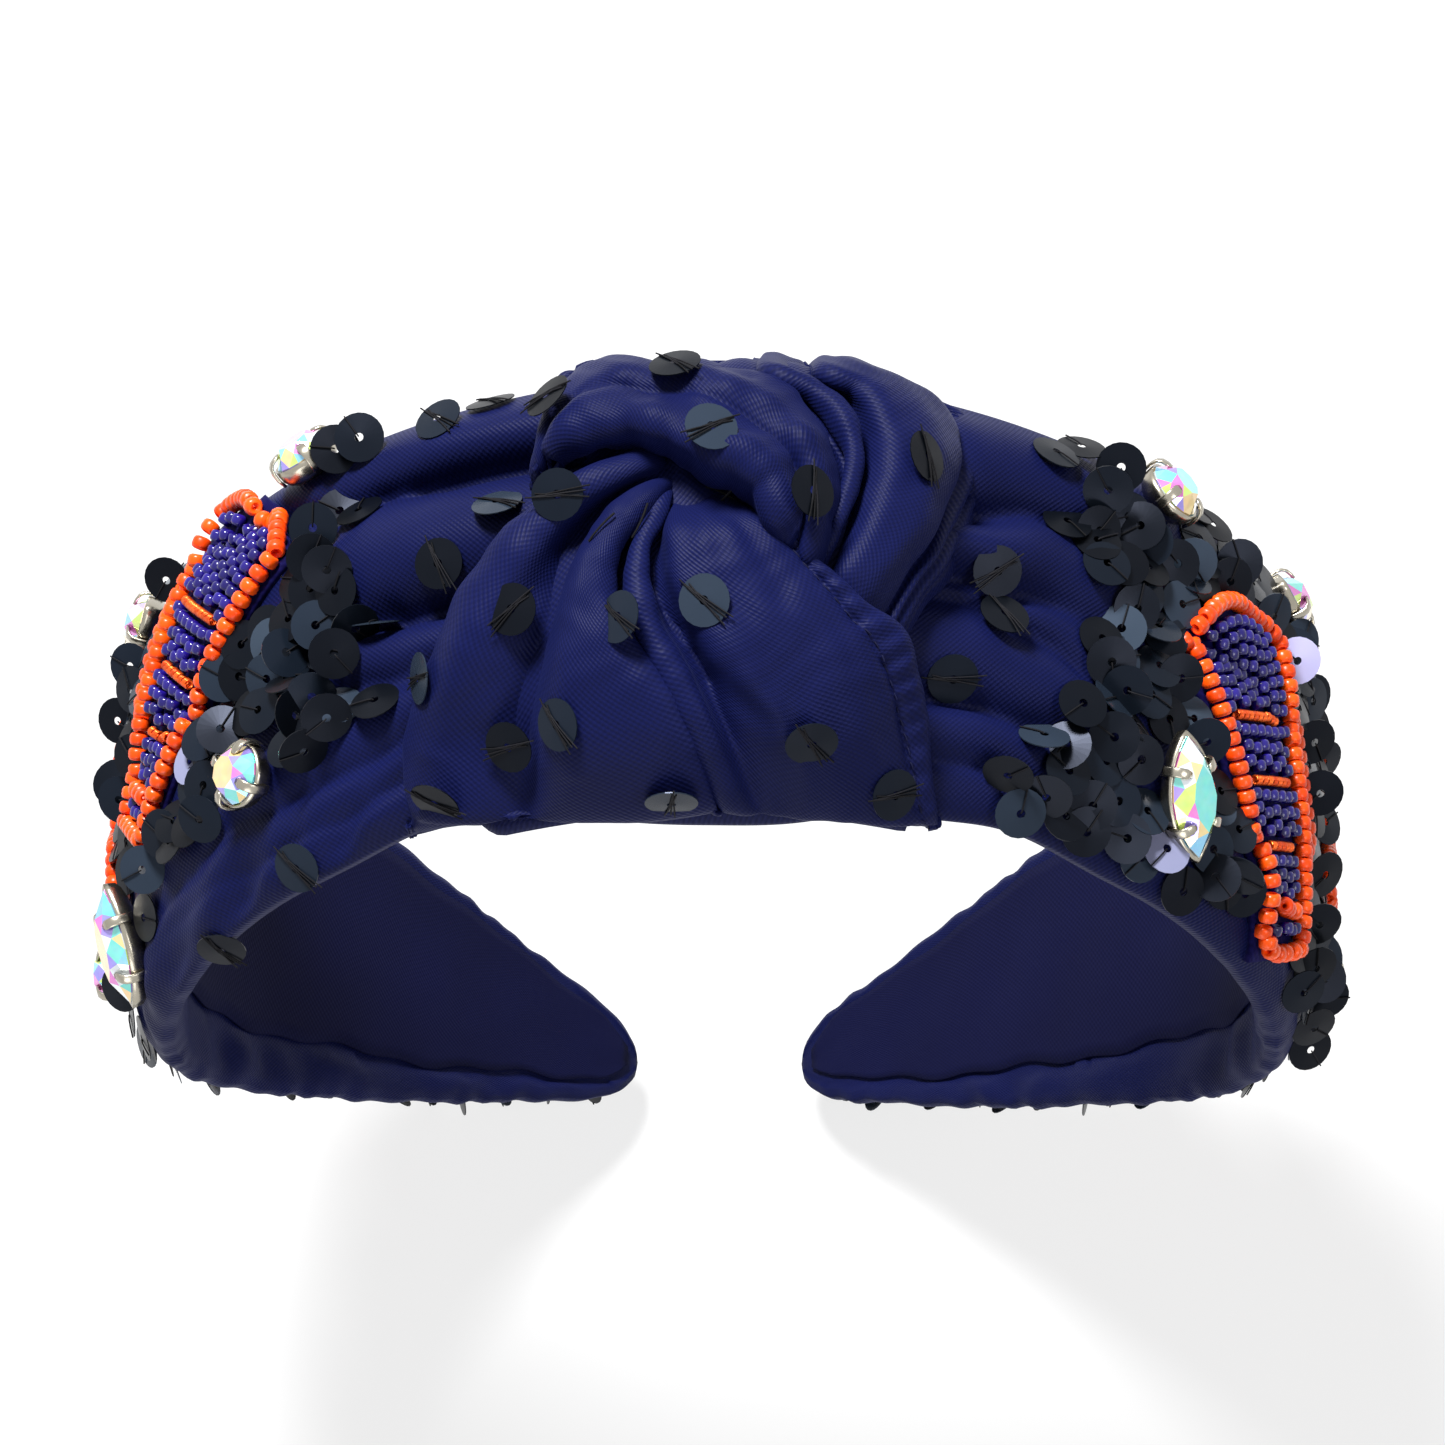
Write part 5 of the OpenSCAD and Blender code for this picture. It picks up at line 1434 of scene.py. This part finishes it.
# Ring of points that a loose sequin feels for cloth at, how far apart those may be, and the most that they lift it
FEEL_R, FEEL_FAR, LIFT_MOST = 2.3, 5.0, 4.0


def loose_places():
    """Places of the loose sequins: each rests on the highest cloth under it."""
    tree = cloth_tree()
    out = []
    around = [(0, 0)] + [(FEEL_R * math.cos(a), FEEL_R * math.sin(a)) for a in np.arange(8) * math.pi / 4]
    for number, (right, up) in enumerate(LOOSE):
        hits = []
        for dx, dy in around:
            hit, normal = sighted(tree, right + dx, up + dy)
            if hit is not None and (not hits or (hit - hits[0][0]).length < FEEL_FAR * MM):
                hits.append((hit, normal))
        if not hits:
            continue
        normal = sum((n for _, n in hits), Vector()).normalized()
        lift = min(max((h - hits[0][0]).dot(normal) for h, _ in hits) / MM, LIFT_MOST)
        lean = LEAN.get(number, (0, 0))
        facing = (normal + VIEW_RIGHT * lean[0] + VIEW_UP * lean[1] + Vector(dice.normal(0, 0.06, 3))).normalized()
        lift += 0.22 * SEQUIN_D * math.sqrt(1 - min(facing.dot(normal), 1) ** 2)
        lie = turn_to(facing, (0.5 + dice.normal(0, 0.25), -1, 0))
        out.append((np.array(hits[0][0]) / MM + np.array(normal) * (0.25 + 0.9 * lift), lie))
    return out


loose = loose_places()
grow("knot_sequins", loose, disc_shape, SEQUIN, sequin_film, 34, "sequin_film", "sequins_knot")
STITCH = stitch(-2.9, 3.2, -0.05, 0.4, 0.095)
# Headings of the stitches, in turn, and the turn, slide and shift of each of a sequin's four threads
STITCH_WAYS = (0, -75, 12, 40, -100, 5, -20, 80, 15)
STITCH_THREADS = ((0, 0.05, 0.0), (4, 0.28, 0.6), (-5, -0.2, -0.7), (-11, -0.05, 0.4))
sewn = []
for i, (p, m) in enumerate(loose):
    for turn, slide, shift in STITCH_THREADS:
        lie = m @ Matrix.Rotation(math.radians(STITCH_WAYS[i % len(STITCH_WAYS)] + turn), 3, "Z")
        x, y, z = (np.array(c) for c in lie.col)
        sewn.append((p + z * THREAD_LIFT + y * slide + x * shift, lie))
grow("knot_sequin_stitches", sewn, bar_shape, STITCH, black_thread, 37, "sequin_film")

# Hem stitches of the front flap, and the thread ends that close the knot's eye
HEM_STITCH = stitch(-0.5, 0.5, -0.12, 0.2, 0.11)
HEM_FIRST, HEM_STEP, HEM_LIFT = 3, 1.7, 0.12
hem = np.array(hem_line)
run = lengths(hem)
sewn = []
for s in np.arange(HEM_FIRST, run[-1], HEM_STEP):
    spot, ahead = (np.array([np.interp(d, run, hem[:, k]) for k in range(3)]) for d in (s, s + 0.8))
    out = np.array([spot[0], spot[1] * 0.4, spot[2]])
    sewn.append((spot + HEM_LIFT * out / np.linalg.norm(out), turn_to(out, ahead - spot)))
grow("knot_hem_stitches", sewn, bar_shape, HEM_STITCH, navy_thread, 43, "satin_cover")
# Right and up of the aim, and heading in degrees
EYE_THREADS = [
    (-1.5, 27.9, 10), (-0.4, 27.4, -35), (0.6, 28.0, 55), (-2.6, 28.2, 30), (-14.8, 23.2, 50), (-10.4, 24.2, 65),
]
EYE_STITCH = stitch(-1.9, 2.2, -0.2, 0.5, 0.13)
EYE_LIFT = 0.3
cloth = cloth_tree()
sewn = []
for right, up, angle in EYE_THREADS:
    hit, normal = sighted(cloth, right, up)
    way = VIEW_RIGHT * math.cos(math.radians(angle)) + VIEW_UP * math.sin(math.radians(angle))
    sewn.append((np.array(hit) / MM + np.array(normal) * EYE_LIFT, turn_to((normal + look).normalized(), way)))
grow("knot_eye_threads", sewn, bar_shape, EYE_STITCH, black_thread, 47, "satin_cover")

# The flexible hoop inside keeps its solid and gets its finish
hoop_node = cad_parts["hoop_core"]
hoop_node.data.materials.clear()
hoop_node.data.materials.append(hoop_plastic)

# Floor, world and lamps
FLOOR_HALF, FLOOR_GAP = 3000, 0.2
WHITE = linear("#ffffff")


def seen(tree):
    """One for rays of the eye, of mirror gloss and of glass."""
    path = add(tree, "ShaderNodeLightPath")
    ends = {0: path.outputs["Is Glossy Ray"], 1: path.outputs["Is Transmission Ray"]}
    mirrored = add(tree, "ShaderNodeMath", ends, operation="MAXIMUM")
    ends = {0: path.outputs["Is Camera Ray"], 1: mirrored.outputs[0]}
    return add(tree, "ShaderNodeMath", ends, operation="MAXIMUM").outputs[0]


def studio_paper(name):
    """Matt white paper: to the eye its far end stays pale, and it still shows a soft shadow."""
    finish, tree = new_finish(name)
    share = add(tree, "ShaderNodeMath", {0: seen(tree), 1: 0.75}, operation="MULTIPLY")
    place = add(tree, "ShaderNodeTexCoord")
    grain = add(tree, "ShaderNodeTexNoise", {"Vector": place.outputs["Object"], "Scale": 1 / (PAPER_MM * MM)})
    ends = {"Strength": 0.05, "Distance": 0.05 * MM, "Height": grain.outputs["Fac"]}
    bump = add(tree, "ShaderNodeBump", ends)
    ends = {"Base Color": linear("#f4f4f4"), "Roughness": 0.9, "Normal": bump.outputs[0]}
    matt = add(tree, "ShaderNodeBsdfPrincipled", ends)
    pale = add(tree, "ShaderNodeEmission", {"Color": WHITE, "Strength": 1.0})
    close(tree, add(tree, "ShaderNodeMixShader", {0: share.outputs[0], 1: matt.outputs[0], 2: pale.outputs[0]}))
    return finish


low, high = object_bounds()
corners = [(-FLOOR_HALF, -FLOOR_HALF), (FLOOR_HALF, -FLOOR_HALF), (FLOOR_HALF, FLOOR_HALF), (-FLOOR_HALF, FLOOR_HALF)]
floor = make_piece(
    "floor",
    [(x, y, low[2] / MM - FLOOR_GAP) for x, y in corners],
    [[0, 1, 2, 3]],
    studio_paper("white studio paper"),
)

world = bpy.data.worlds.new("studio")
world.use_nodes = True
world.node_tree.nodes.clear()
tree = world.node_tree
soft = add(tree, "ShaderNodeBackground", {"Color": WHITE, "Strength": 0.07})
white = add(tree, "ShaderNodeBackground", {"Color": WHITE, "Strength": 1.0})
both = add(tree, "ShaderNodeMixShader", {0: seen(tree), 1: soft.outputs[0], 2: white.outputs[0]})
add(tree, "ShaderNodeOutputWorld", {"Surface": both.outputs[0]})
bpy.context.scene.world = world

# Lamps: place and size in metres, and power in watts
for name, place, size, watts in (
    ("key lamp", (-0.2, 0.4, 0.7), 0.2, 15.5),
    ("front lamp", (-0.1, -0.7, 0.2), 0.5, 2.2),
    ("side lamp", (0.45, -0.25, 0.6), 0.3, 1.8),
):
    lamp = bpy.data.lights.new(name, "AREA")
    lamp.size = size
    lamp.energy = watts
    holder = bpy.data.objects.new(name, lamp)
    holder.location = place
    holder.rotation_euler = (Vector(place) - AIM).to_track_quat("Z", "Y").to_euler()
    bpy.context.scene.collection.objects.link(holder)

bpy.context.scene.view_settings.view_transform = "Standard"
